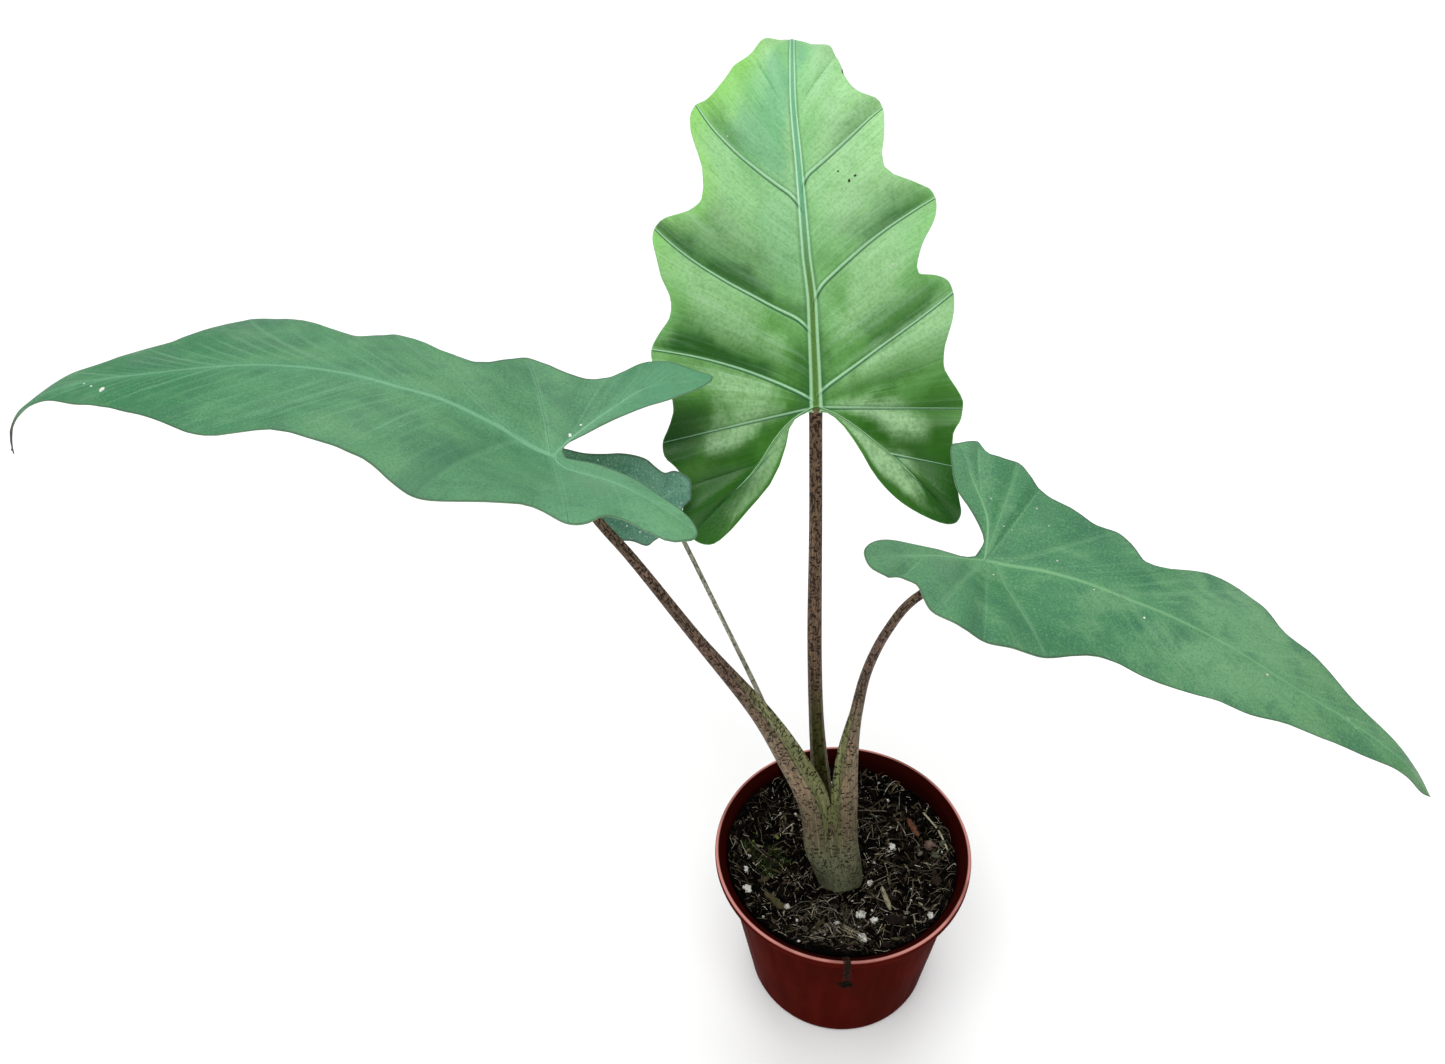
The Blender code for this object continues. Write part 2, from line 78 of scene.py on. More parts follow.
# Stalks: axis points, and at each one the half width, the half depth and the depth of the upper channel
STALKS = {
    "centre": dict(
        facing=(0, -1, 0),
        axis=(
            (-4.2, -5, 72), (-5, -3, 90), (-6.5, -2, 106), (-9, -3, 127), (-11.9, -1, 155),
            (-13.1, 3, 177.5), (-13.5, 9, 201.5), (-13.5, 13, 220), (-13, 22, 263), (-12.5, 33.5, 304)),
        size=(
            (4.2, 4.0, 0), (4.2, 4.0, 0.2), (4.1, 3.7, 0.6), (3.9, 3.4, 1.2), (3.5, 3.1, 1.3),
            (3.0, 2.9, 0.9), (2.85, 2.8, 0.3), (2.8, 2.8, 0), (2.45, 2.45, 0), (2.4, 2.4, 0))),
    "left": dict(
        facing=(0.75, -0.45, 0.5),
        axis=(
            (-4.3, -9.6, 64), (-5.4, -10, 78), (-8.6, -10.8, 92), (-12, -11.6, 106), (-13.3, -12, 122),
            (-15.6, -12, 140), (-25.6, -12, 169.5), (-36.6, -13, 197.5), (-58.2, -15, 240.5),
            (-79, -16.5, 283.5), (-88, -17, 300), (-98.5, -18, 328)),
        size=(
            (6.2, 6.4, 0), (6.2, 6.6, 0), (6.1, 6.5, 0), (6.1, 6.2, 0.4), (6.1, 5.9, 1.3),
            (6.3, 5.9, 2.3), (5.2, 5.2, 2.2), (4.0, 3.8, 1.0), (2.25, 2.25, 0), (1.85, 1.85, 0),
            (1.65, 1.65, 0), (1.6, 1.6, 0))),
    "right": dict(
        facing=(-0.8, -0.35, 0.3),
        axis=(
            (2.2, -9.8, 64), (1.8, -10.2, 78), (0.8, -11, 92), (-0.6, -12, 106), (-1.5, -12, 122),
            (-1.6, -12, 139), (-1.2, -12, 168), (0.8, -13.5, 195.5), (3.2, -17, 222.5),
            (8.8, -22, 248.5), (16.4, -25.5, 266.5), (35, -31, 290)),
        size=(
            (6.6, 6.4, 0), (6.5, 6.6, 0), (6.2, 6.2, 0), (5.9, 5.8, 0.4), (5.8, 5.4, 1.2),
            (5.4, 5.1, 2.0), (4.0, 3.9, 1.6), (2.3, 2.3, 0.6), (1.9, 1.9, 0), (1.7, 1.7, 0),
            (1.6, 1.6, 0), (1.5, 1.5, 0))),
    "back": dict(
        facing=(0.8, -0.5, 0.3),
        axis=(
            (-9, -5, 84), (-11.5, -3.4, 96), (-14.4, -2.2, 106), (-18, -1.5, 126), (-28.5, 0, 164.5),
            (-36.8, 1, 194.5), (-50.4, 2, 237.5), (-61, 3.5, 270), (-64.6, 4.5, 280), (-70.5, 3, 290)),
        size=(
            (2.3, 2.3, 0), (2.1, 2.1, 0), (2.0, 2.0, 0), (1.7, 1.7, 0), (1.3, 1.3, 0), (1.0, 1.0, 0),
            (0.85, 0.85, 0), (0.85, 0.85, 0), (0.9, 0.9, 0), (1.0, 1.0, 0))),
}

# Blades. The spine runs from behind the stalk joint to the drip tip, and its joint is the point numbered
# by joint. Roll, fold and curl are degrees at the lobes, at the joint, at mid length and at the tip: the
# turn about the spine, the rise of each half, and its further rise over 100 mm of width. The funnel is the
# depth and radius of the dip at the joint, and drift is how far the midrib strays across from the spine at
# some distances along it. Each half lists its margin from tip to sinus as (along, across) points, one group
# for each side vein, which starts at that vein's end. Its roots are where the side veins leave: a distance
# along the midrib, or, below zero, a share of the lobe vein. Veins are how strongly each one shows, and bows
# how far it bends towards the tip, as a share of its length.
BLADES = {
    "centre": dict(
        side=(-1, 0, 0), joint=3, joint_at=1.5, relief=3.6, roll=(0, 0, 0, 15), fold=(6, 6, 6, -14),
        curl=(-5, -5, -8, -8), funnel=(0, 28),
        spine=(
            (-12.5, -10, 244), (-12.5, 3.5, 265), (-12.5, 17, 283.5), (-12.5, 33.5, 304), (-12, 47, 321),
            (-11.5, 61.5, 338), (-12, 77, 354.5), (-12.5, 94, 369), (-13, 113.5, 382.7),
            (-12, 134.5, 391), (-10.5, 158.5, 391.2), (-10.5, 179, 379.5), (-10.5, 191.5, 362.5)),
        drift=((0, 0), (22, 0.4), (40, 0.9), (54, 2), (120, 2.2), (155, 2), (180, 1), (206, 0)),
        halves=(dict(
            roots=(206, 138, 103, 72, 27, 3, 0, -0.6, -1), veins=(0, 0, 0, 1, 1, 1, 0.9, 0.2, 0.5),
            bows=(0, 0.03, -0.03, -0.055, -0.05, 0.045, 0, 0, 0),
            lobe=((-1.6, 6.9), (-8, 14), (-19.8, 22.8), (-31, 35)),
            margin=(
                ((206, 0), (197, 4), (180, 5)), ((165, 7), (152, 12.6)),
                ((141, 17.5), (130.5, 23), (122, 26.5), (114.5, 33)),
                ((113, 37.5), (108, 40), (100, 39.5), (91, 37.5), (82.5, 37), (76, 38), (73, 42),
                 (70.5, 52)),
                ((67.5, 55), (64, 56), (59.5, 55.5), (49.5, 54), (39.5, 51), (33, 51.5), (28, 55)),
                ((22.5, 58), (18, 57.8), (12, 55), (6, 51.5), (0.5, 51), (-4.5, 53)),
                ((-9, 55), (-14, 54.5), (-18, 50.7)), ((-24.5, 47), (-31, 49), (-38, 49)),
                ((-42, 47.1), (-45, 43), (-45.3, 39), (-42, 34), (-34, 26), (-23.5, 16.5), (-12.5, 11.6),
                 (-4, 9), (-0.5, 4.5), (-0.5, 0)))),
                dict(
            roots=(206, 138, 106, 80, 38, 5, 0, -0.6, -1), veins=(0, 0, 0, 1, 1, 1, 0.9, 0.8, 0.4),
            bows=(0, 0.03, -0.03, -0.02, 0.035, 0, 0, 0, 0),
            lobe=((-1.2, 6.6), (-6.6, 14.2), (-13.5, 22), (-22, 31), (-31, 39)),
            margin=(
                ((206, 0), (197, 4), (180, 6)), ((167, 8.5), (156, 12)),
                ((145, 15), (133, 16.3), (124, 17), (116, 21), (113, 28.5)),
                ((109.5, 30), (104, 30), (95.5, 29), (88, 27.5), (82.5, 28.5), (79.5, 34), (75.5, 43)),
                ((72, 45), (68, 45), (63, 43.5), (55.5, 39), (49, 36.5), (46, 36.5), (45, 43),
                 (43.5, 47)),
                ((40, 48.8), (36, 49), (30.5, 48), (20, 45), (13.5, 45), (7, 49), (2, 51.5)),
                ((-1, 51.5), (-5.5, 50.3), (-10.5, 47.5)), ((-22, 48), (-33.5, 48.8), (-38.5, 49.3)),
                ((-41.3, 48), (-42, 45), (-39.5, 38), (-33, 28), (-24, 20), (-14.3, 14.8), (-5.8, 9.5),
                 (-0.8, 4), (-0.5, 0)))))),
    "left": dict(
        side=(0, -1, 0), joint=3, joint_at=0, relief=1.6, roll=(4, 4, 2, 0), fold=(4, 2, -6, -6),
        curl=(-8, -8, -20, -20), funnel=(12, 30),
        spine=(
            (-35.5, -27, 324.5), (-54, -24, 331), (-74.5, -20.5, 335), (-96.5, -17, 339.5),
            (-117, -13.5, 344), (-137, -9.5, 348.5), (-159, -6, 353), (-182, -2.5, 354.5),
            (-213, 3, 351.5), (-244, 8.5, 346), (-261, 11.5, 341), (-270, 12.5, 336.7),
            (-276.6, 13.3, 332.1), (-281.5, 13.3, 326), (-283.8, 13.3, 320.5), (-285.4, 13.3, 314)),
        drift=(
            (0, -2.5), (12, -3.6), (25, -2.8), (36, -2), (50, 0), (81, -1.5), (98, -1.9), (114, -1.2),
            (130, 0), (207, 0)),
        halves=(dict(
            roots=(207, 140, 105, 57, 34, 11, 0, -0.55, -1),
            veins=(0, 0.3, 0.3, 0.8, 0.3, 0.6, 0.9, 0.3, 0.3),
            bows=(0, 0.02, 0, -0.07, 0, 0.04, 0, 0, 0), lobe=((-4, 6), (-13, 12), (-25, 22), (-38, 34)),
            margin=(
                ((207, 0), (200, 0.9), (185, 1.8)), ((170.5, 4.5), (152, 12)),
                ((143, 13.5), (128, 19.5), (115, 24.5)),
                ((104.5, 28.5), (94.5, 30.5), (84, 29.5), (75.5, 29), (65, 31)),
                ((55, 33.5), (46, 38), (35.5, 45)), ((26, 49.5), (17.5, 49.5), (5, 46.5), (-2.5, 44)),
                ((-14, 48.5), (-20, 48), (-24, 44)), ((-29.5, 42.5), (-37, 48.5), (-43, 52), (-47, 49)),
                ((-48.45, 43.5), (-45, 36), (-37.5, 28.5), (-26, 15), (-14, 3.5), (-8.5, 1), (-4, 0)))),
                dict(
            roots=(207, 140, 105, 62, 12, 1, 0, -0.55, -1),
            veins=(0, 0.3, 0.4, 0.8, 1, 1, 0.4, 0.9, 0.3),
            bows=(0, 0.02, 0.05, 0.06, 0.06, -0.03, 0, -0.02, 0),
            lobe=((-2.2, 7.2), (-7.6, 16), (-14, 24), (-21, 33), (-29, 40)),
            margin=(
                ((207, 0), (200, 0.9), (185, 1.8)), ((170.5, 12), (157, 13)),
                ((147.5, 22.5), (138, 26), (131.5, 31), (128, 40)),
                ((123.5, 47), (110.5, 45), (95, 38), (81, 29.5), (73, 27), (66.5, 31.5)),
                ((62.5, 35.5), (53, 32.5), (43.5, 27), (35.5, 25), (29.5, 29), (25, 34.5)),
                ((19.5, 38), (12.5, 36.5), (5, 34), (-1.5, 34)), ((-8.5, 37), (-13.5, 39.5)),
                ((-20, 49.5), (-25.5, 49.5), (-32, 48)),
                ((-37.88, 47.54), (-42.5, 46.5), (-40, 39), (-32, 29.5), (-24, 24.5), (-12.5, 16.5),
                 (-6, 10.5), (-3, 7.5), (-2, 4), (-4, 0)))))),
    "right": dict(
        side=(0, 1, 0), joint=3, joint_at=4, relief=1.5, roll=(0, 2, 18, 23), fold=(2, 2, -8, -8),
        curl=(-8, -8, -20, -20), funnel=(10, 28),
        spine=(
            (-3, -16, 315.6), (13, -22, 307.6), (25.5, -27, 303.6), (36, -31, 299.6), (52, -38, 294.1),
            (72.5, -45.5, 286.6), (91.5, -52.5, 280.1), (110, -59.5, 271.6), (133.5, -68.5, 258.1),
            (158, -77, 244.1), (167.5, -81, 237.1), (176, -83.5, 226.6)),
        drift=((0, 1.6), (15, 2.1), (36, 0.9), (50, 0), (88, 1.2), (127, 1.1), (145, 0), (172, 0)),
        halves=(dict(
            roots=(172, 122, 80, 43, 4, 2, 0, -0.6, -1),
            veins=(0, 0.3, 0.3, 0.9, 0.8, 0.3, 0.9, 0.5, 0.3),
            bows=(0, 0.02, 0.05, 0.05, 0.05, 0, 0, -0.02, 0),
            lobe=((2.6, 9), (0.3, 17.5), (-5, 26), (-13, 36)),
            margin=(
                ((172.5, 0), (166.5, 3.5), (156, 4.5)), ((145, 7), (131.5, 11.5)),
                ((117.5, 22), (105, 24), (96.5, 30)),
                ((88.5, 33.5), (77.5, 31), (68, 25.5), (59, 19.5), (52.5, 19), (48, 26)),
                ((42.5, 30.5), (35, 29.5), (27.5, 32.5), (18.5, 35)), ((12.5, 38), (7.5, 41)),
                ((3, 47.5), (-1, 45), (-5, 44)), ((-10, 49), (-15, 44.2)),
                ((-17.97, 42.15), (-19.8, 40), (-18.5, 32.5), (-13.5, 22.5), (-5.5, 17.8), (-0.5, 12.5),
                 (1.8, 8), (1.5, 4), (0.8, 0)))),
                dict(
            roots=(172, 122, 80, 46, 7, 5, 0, -0.6, -1), veins=(0, 0.3, 0.3, 0.8, 1, 0.3, 0.9, 0.3, 0.3),
            bows=(0, 0.02, 0, -0.07, -0.04, -0.02, 0, 0, 0),
            lobe=((-3.8, 5.7), (-10.9, 13), (-17.1, 20.9), (-27, 33)),
            margin=(
                ((172.5, 0), (166.5, 2.5), (158, 3.5)), ((151, 4.5), (138.5, 7.5)),
                ((124, 9.5), (110, 12.5), (96.5, 17.5)),
                ((84, 19), (74.5, 21.5), (61.5, 24), (50.5, 24.5), (43, 26), (35.5, 30.5)),
                ((27, 37.5), (18.5, 43), (14, 46)), ((10, 47), (0, 49.5)),
                ((-10, 47.5), (-13, 44), (-16, 39)), ((-20, 38), (-26, 44.5), (-32, 46.5)),
                ((-35.05, 42.6), (-36, 39.5), (-34.5, 34), (-29, 26), (-19, 15.5), (-9.5, 7.5), (-2, 3),
                 (0.8, 0)))))),
    "back": dict(
        side=(-0.25, -0.55, -0.8), joint=2, joint_at=0, relief=1.2, roll=(0, 0, 0, 0),
        fold=(4, 4, -4, -4), curl=(-8, -8, -20, -20), funnel=(3, 14),
        spine=(
            (-48.5, -1, 284.5), (-59, 1, 287.5), (-70.5, 3, 290), (-80.5, 6, 292.5), (-91, 9, 295.5),
            (-103, 13, 298), (-115, 18, 298.5), (-126, 22.5, 295.5), (-134, 26, 289)),
        drift=((0, 0), (70, 0)),
        halves=(dict(
            roots=(70, 48, 32, 16, 5, 0, -0.6, -1), veins=(0, 0.4, 0.4, 0.6, 0.7, 0.8, 0.5, 0.4),
            bows=(0, 0.05, 0.05, 0.05, 0.03, 0, 0, 0), lobe=((-6, 7),),
            margin=(
                ((70, 0), (65, 1), (58, 3)), ((51, 5), (43, 7)), ((36, 9), (29, 10.5)),
                ((19.5, 12.5), (14.5, 14)), ((9.5, 16.5), (3.5, 15)), ((-1, 15), (-2.5, 13)),
                ((-4.5, 11), (-7, 10.5)), ((-8.4, 9.7), (-9.5, 8), (-11, 5), (-10.5, 2), (-9.5, 0)))),
                dict(
            roots=(70, 48, 32, 16, 7, 0, -0.6, -1), veins=(0, 0.4, 0.4, 0.6, 0.9, 0.9, 0.5, 0.4),
            bows=(0, 0.05, 0.05, 0.05, 0.03, -0.02, 0, 0), lobe=((-7.5, 8),),
            margin=(
                ((70, 0), (65, 1), (58, 3)), ((51, 6), (43, 7)), ((36, 8), (29, 8.5)),
                ((22, 10.5), (17, 12.5)), ((12, 13.5), (7.5, 13.5), (3.5, 12)), ((-0.5, 11), (-4, 12.5)),
                ((-7.5, 12),), ((-10, 10.5), (-11, 7.5), (-11.5, 4), (-10, 1), (-9.5, 0)))))),
}

# Looks of each blade: half widths of the midrib at its two ends, of a side vein and of the lobe vein at its
# two ends (costa), heights of the pillows between the veins, of the ribs on top (rise) and underneath
# (under), and how far the side veins swing forward beside the midrib (hook)
BLADE_LOOKS = {
    "centre": dict(
        midrib=(2.3, 0.6), vein=0.5, costa=(0.45, 0.25), pillow=1.9, rise=0.4, under=1.3, hook=3.5),
    "left": dict(midrib=(0.85, 0.3), vein=0.3, costa=(0.3, 0.2), pillow=0.6, rise=0.12, under=0.9, hook=1),
    "right": dict(midrib=(0.7, 0.3), vein=0.3, costa=(0.3, 0.2), pillow=0.6, rise=0.12, under=0.9, hook=2),
    "back": dict(midrib=(0.5, 0.25), vein=0.25, costa=(0.3, 0.2), pillow=0.4, rise=0.06, under=0.4, hook=1),
}
BLADE_THICKNESS = 0.6
# Mesh of a half: phases from one side vein to the next, and shares of the way from the midrib to the margin
PHASES = np.array((0, 0.01, 0.022, 0.04, 0.07, 0.12, 0.2, 0.3, 0.42, 0.54, 0.66, 0.77, 0.86, 0.92, 0.955,
                   0.975, 0.99))
SHARES = np.r_[0, 0.004, 0.009, 0.015, 0.022, 0.03, 0.04, 0.052, 0.067, 0.085, 0.11, 0.14,
               np.linspace(0.18, 0.96, 18), 0.985, 0.994, 1]
FAR = 10.0                    # rib distance, in half widths, past which nothing depends on it
DRIFT_FADE = 18               # the midrib's drift grows from the joint over this length
HOOK_START, HOOK_END = 15, 40     # the hook of the side veins grows from the joint, and fades to the tip
HOOK_SHARE = 0.12             # share of a side vein's way after which its hook is complete
VEIN_TAPER = 0.6              # share of its width that a side vein loses on its way
FULL_ROOM = 25                # rows shorter than this have less relief
TIP_FLAT, TIP_FADE = 55, 60   # no relief this near the tip, and then it grows over the second length
ROUGH_SIZE, ROUGH_HEIGHT = 7, 0.3
NORMAL_STEP = 0.2
WELD = 0.000002               # in metres: more would close the fold beside the lobe vein
SPINE_STEPS = 24              # path points between two spine points


def through(points, t):
    """Smooth curve through the points, read at the index positions t."""
    p = np.asarray(points, float)
    t = np.clip(np.asarray(t, float), 0, len(p) - 1)
    h = np.sqrt(np.maximum(np.linalg.norm(np.diff(p, axis=0), axis=1), 1e-6))[:, None]
    slope = np.diff(p, axis=0) / h
    middle = (slope[:-1] * h[1:] + slope[1:] * h[:-1]) / (h[:-1] + h[1:])
    m = np.vstack([slope[:1], middle, slope[-1:]])
    i = np.minimum(t.astype(int), len(p) - 2)
    w = (t - i)[..., None]
    h = h[i]
    return ((2 * w**3 - 3 * w**2 + 1) * p[i] + (w**3 - 2 * w**2 + w) * h * m[i]
            + (3 * w**2 - 2 * w**3) * p[i + 1] + (w**3 - w**2) * h * m[i + 1])


def unit(a):
    """Vectors scaled to length 1."""
    a = np.asarray(a, float)
    return a / np.maximum(np.linalg.norm(a, axis=-1, keepdims=True), 1e-9)


def eased(x, stations, values):
    """Values at the stations, joined by eased steps."""
    stations, values = np.asarray(stations, float), np.asarray(values, float)
    x = np.clip(x, stations[0], stations[-1])
    i = np.clip(np.searchsorted(stations, x, side="right") - 1, 0, len(stations) - 2)
    w = (x - stations[i]) / (stations[i + 1] - stations[i])
    w = w * w * (3 - 2 * w)
    return values[i] * (1 - w) + values[i + 1] * w


def blade_surface(spec):
    """Function that places flat blade coordinates (along, across) on the bent blade, and its length."""
    path = through(spec["spine"], np.arange(0, len(spec["spine"]) - 1 + 1e-9, 1 / SPINE_STEPS))
    reach = np.r_[0, np.cumsum(np.linalg.norm(np.diff(path, axis=0), axis=1))]
    reach -= reach[SPINE_STEPS * spec["joint"]]
    length = reach[-1]
    tangents = unit(np.gradient(path, reach, axis=0))
    side = unit(spec["side"])
    stations = (-45, 0, 0.45 * length, length)
    depth, radius = spec["funnel"]

    def along(u, table):
        return np.stack([np.interp(u, reach, table[:, k]) for k in range(3)], -1)

    def place(u, v):
        u, v = np.asarray(u, float), np.asarray(v, float)
        inside = np.clip(u, reach[0], reach[-1])
        tangent = unit(along(inside, tangents))
        point = along(inside, path) + tangent * (u - inside)[..., None]
        level = unit(side - tangent * (tangent @ side)[..., None])
        up = np.cross(tangent, level)
        roll, fold, curl = (np.radians(eased(u, stations, spec[k])) for k in ("roll", "fold", "curl"))
        across = level * np.cos(roll)[..., None] + up * np.sin(roll)[..., None]
        rise = up * np.cos(roll)[..., None] - level * np.sin(roll)[..., None]
        bend = np.where(np.abs(curl) < 1e-5, 1e-5, curl) / 100
        reached = fold + bend * np.abs(v)
        flat = (np.sin(reached) - np.sin(fold)) / bend
        high = (np.cos(fold) - np.cos(reached)) / bend - depth * np.exp(-(u * u + v * v) / radius**2)
        return point + across * (np.sign(v) * flat)[..., None] + rise * high[..., None]

    return place, length


def blade_rays(half, positive):
    """Rays of one half, from the tip round the lobe to the sinus: root, bay, phase in it and margin spot."""
    groups, roots = half["margin"], np.array(half["roots"], float)
    starts = np.r_[0, np.cumsum([len(g) for g in groups[:-1]]), sum(map(len, groups)) - 1]
    lobe = [roots[k] * (1 - PHASES) + roots[k + 1] * PHASES for k in range(len(roots) - 1) if roots[k] <= 0]
    root = np.r_[positive, np.concatenate(lobe), -1.0]
    bay = np.clip(np.searchsorted(-roots, -root, side="right") - 1, 0, len(roots) - 2)
    phase = (roots[bay] - root) / (roots[bay] - roots[bay + 1])
    spot = starts[bay] * (1 - phase) + starts[bay + 1] * phase
    inner = root[root <= 0][::-1]
    return dict(
        root=np.r_[root, inner], bay=np.r_[bay, np.full(len(inner), len(roots) - 1)],
        phase=np.r_[phase, 1 + inner], spot=np.r_[spot, -inner * starts[-2] + (1 + inner) * starts[-1]])


def lobe_vein(spec, half, sign, t):
    """Points of the lobe vein, from the joint at 0 to its end at 1."""
    knots = np.array([(spec["joint_at"], 0.0), *half["lobe"]]) * (1, sign)
    line = through(knots, np.linspace(0, len(knots) - 1, 60))
    reach = np.r_[0, np.cumsum(np.linalg.norm(np.diff(line, axis=0), axis=1))]
    return np.stack([np.interp(t * reach[-1], reach, line[:, k]) for k in range(2)], -1)


def off_line(points, start, way):
    """Distance of points from a line."""
    way = unit(way)
    offset = points - start
    return np.abs(offset[..., 0] * way[..., 1] - offset[..., 1] * way[..., 0])


def blade_half(spec, looks, half, sign, positive, place, length):
    """Positions of one half's mesh rows, and at each its rib, vein, thickness, flat and strand values."""
    rays = blade_rays(half, positive)
    root, bay, phase = rays["root"], rays["bay"], rays["phase"]
    last = len(half["roots"]) - 1
    inside = bay == last

    start = ((spec["joint_at"], spec["joint_at"] + DRIFT_FADE), (0, 1))
    drift = np.interp(np.clip(root, 0, length), *zip(*spec["drift"]))
    midrib = np.stack([np.clip(root, spec["joint_at"], length), drift * np.interp(root, *start)], -1)
    feet = np.where((root > 0)[:, None], midrib, lobe_vein(spec, half, sign, np.clip(-root, 0, 1)))
    edges = through([p for g in half["margin"] for p in g], rays["spot"]) * (1, sign)
    way = edges - feet
    size = np.linalg.norm(way, axis=1)
    bends = np.interp(bay + phase, range(last + 1), half["bows"])
    bow = unit(np.stack([way[:, 1], -way[:, 0]], -1)) * (sign * bends * size)[:, None]
    bow *= np.where(inside, np.clip(1 - 5 * phase, 0, 1), 1)[:, None]
    q = SHARES[None, :]
    curves = feet[:, None] + way[:, None] * q[..., None] + bow[:, None] * (4 * q * (1 - q))[..., None]
    hook = looks["hook"] * np.clip(root / HOOK_START, 0, 1) * np.clip((length - root) / HOOK_END, 0, 1)
    curves[..., 0] += hook[:, None] * (1 - np.clip(1 - q / HOOK_SHARE, 0, 1) ** 2) * (1 - q)
    courses = np.gradient(curves, SHARES, axis=1)

    vein = np.full(curves.shape[:2], FAR)
    for k in range(1, last + 1):
        strength = half["veins"][k]
        if not strength:
            continue
        own = np.flatnonzero(np.abs(root - half["roots"][k]) < 1e-9)[0]
        width = looks["vein"] * (0.35 + 0.65 * strength) * (1 - VEIN_TAPER * SHARES)
        near = (bay == k) | (bay == k - 1) | ((k == last) & inside)
        ratio = off_line(curves[near], curves[own], courses[own]) / width
        vein[near] = np.minimum(vein[near], ratio + 2.5 * (1 - strength))

    u, v = curves[..., 0], curves[..., 1]
    line = np.interp(np.clip(u, 0, length), *zip(*spec["drift"])) * np.interp(u, *start)
    wide, narrow = looks["midrib"]
    rib_width = wide + (narrow - wide) * np.clip(u / length, 0, 1) ** 0.7
    rib = np.hypot(v - line, np.maximum(spec["joint_at"] - u, 0)) / rib_width
    t = np.linspace(0, 1, 13)
    knots = lobe_vein(spec, half, sign, t)
    for a, b, s in zip(knots, knots[1:], t):
        along = np.clip(((curves - a) @ (b - a)) / ((b - a) @ (b - a)), 0, 1)
        width = looks["costa"][0] * (1 - s) + looks["costa"][1] * s
        ratio = np.linalg.norm(curves - a - (b - a) * along[..., None], axis=-1) / width
        rib = np.minimum(rib, ratio + 4 * max(0, s - 0.6))

    wave = np.where(inside, 0.4, 1.0)[:, None] * np.sin(math.pi * phase)[:, None] ** 2
    room = np.minimum(size / FULL_ROOM, 1)[:, None]
    room = room * np.clip((length - root - TIP_FLAT) / TIP_FADE, 0, 1)[:, None]
    height = spec["relief"] * wave * q**1.5 * room
    crest = phase ** 1.5
    swell = (4 * crest * (1 - crest)).clip(0)[:, None] ** 0.7
    swell = swell * np.sin(math.pi * np.minimum(q, 0.999) ** 1.2) ** 0.8
    height = height + looks["pillow"] * swell * room * np.where(inside, 0.5, 1)[:, None]
    height = height + looks["rise"] * (np.exp(-(rib**2)) + 0.6 * np.exp(-(vein**2)))
    rough = [noise.noise(Vector((x / ROUGH_SIZE, y / ROUGH_SIZE, spec["joint_at"])))
             for x, y in zip(u.ravel(), v.ravel())]
    height = height + ROUGH_HEIGHT * np.array(rough).reshape(u.shape) * np.minimum(q * 4, 1) * room
    points = place(u, v)
    step = NORMAL_STEP
    normal = np.cross(place(u + step, v) - place(u - step, v), place(u, v + step) - place(u, v - step))
    points = points + unit(normal) * height[..., None]

    heavy = looks["under"] * (0.3 + 0.7 * rib_width / wide) * np.clip((u + 6) / 8, 0.3, 1)
    thick = BLADE_THICKNESS * (1 - 0.5 * q**6) + heavy * np.exp(-((rib / 1.3) ** 2))
    thick = thick + 0.3 * looks["under"] * np.exp(-((vein / 1.5) ** 2)) * (1 - q)
    thick = thick * np.clip((length - u) / 25, 0.4, 1)
    flat = np.stack([u, v, (1 - q) * size[:, None]], -1)
    strand = np.stack([np.broadcast_to((bay + phase)[:, None], u.shape), np.broadcast_to(q, u.shape),
                       np.full(u.shape, sign)], -1)
    return points, np.minimum(rib, FAR), np.minimum(vein, FAR), thick, flat, strand


def make_blade(key, spec, material, underside):
    """Blade with a smooth top, ribs that stand out underneath and a thin margin."""
    looks = BLADE_LOOKS[key]
    place, length = blade_surface(spec)
    roots = np.concatenate([np.outer(1 - PHASES, h["roots"][:-1]) + np.outer(PHASES, h["roots"][1:])
                            for h in spec["halves"]], axis=None)
    tip = spec["halves"][0]["roots"][0]
    positive = np.unique(np.round(roots[(roots > 0.02) & (roots < tip - 0.5)], 2))[::-1]
    positive = np.r_[tip, positive]
    bm = bmesh.new()
    rib_layer, vein_layer = bm.verts.layers.float.new("rib"), bm.verts.layers.float.new("vein")
    flat_layer = bm.verts.layers.float_vector.new("flat")
    strand_layer = bm.verts.layers.float_vector.new("strand")
    weights = bm.verts.layers.deform.verify()
    deepest = BLADE_THICKNESS + looks["under"] * 1.3
    for half, sign in zip(spec["halves"], (1, -1)):
        points, rib, vein, thick, flat, strand = blade_half(
            spec, looks, half, sign, positive, place, length)
        grid = []
        for i, row in enumerate(points):
            line = []
            for j, p in enumerate(row):
                vert = bm.verts.new(Vector(p) * MM)
                vert[rib_layer] = rib[i, j]
                vert[vein_layer] = vein[i, j]
                vert[flat_layer] = Vector(flat[i, j])
                vert[strand_layer] = Vector(strand[i, j])
                vert[weights][0] = float(thick[i, j] / deepest)
                line.append(vert)
            grid.append(line)
        for row, following in zip(grid, grid[1:]):
            for j in range(len(SHARES) - 1):
                corners = (row[j], row[j + 1], following[j + 1], following[j])
                bm.faces.new(corners if sign > 0 else corners[::-1])
    bmesh.ops.remove_doubles(bm, verts=bm.verts, dist=WELD)
    blade = new_object("leaf_" + key, bm, material, underside)
    blade.vertex_groups.new(name="thickness")
    skin = blade.modifiers.new("Thickness", "SOLIDIFY")
    skin.thickness = deepest * MM
    skin.offset = -1
    skin.vertex_group = "thickness"
    skin.material_offset = 1
    skin.material_offset_rim = 1
    return blade, place

STALK_SIDES = 56
STALK_STEPS = 10              # rings between two axis points
STEM_SIDES = 64
STEM_STEPS = 36
LIP_AT, LIP_WIDTH = 0.62, 0.16    # radians round from the middle of the channel
CHANNEL_WIDTH = 0.42


def circle(sides):
    """Angles of the corners of a ring."""
    return [2 * math.pi * k / sides for k in range(sides)]


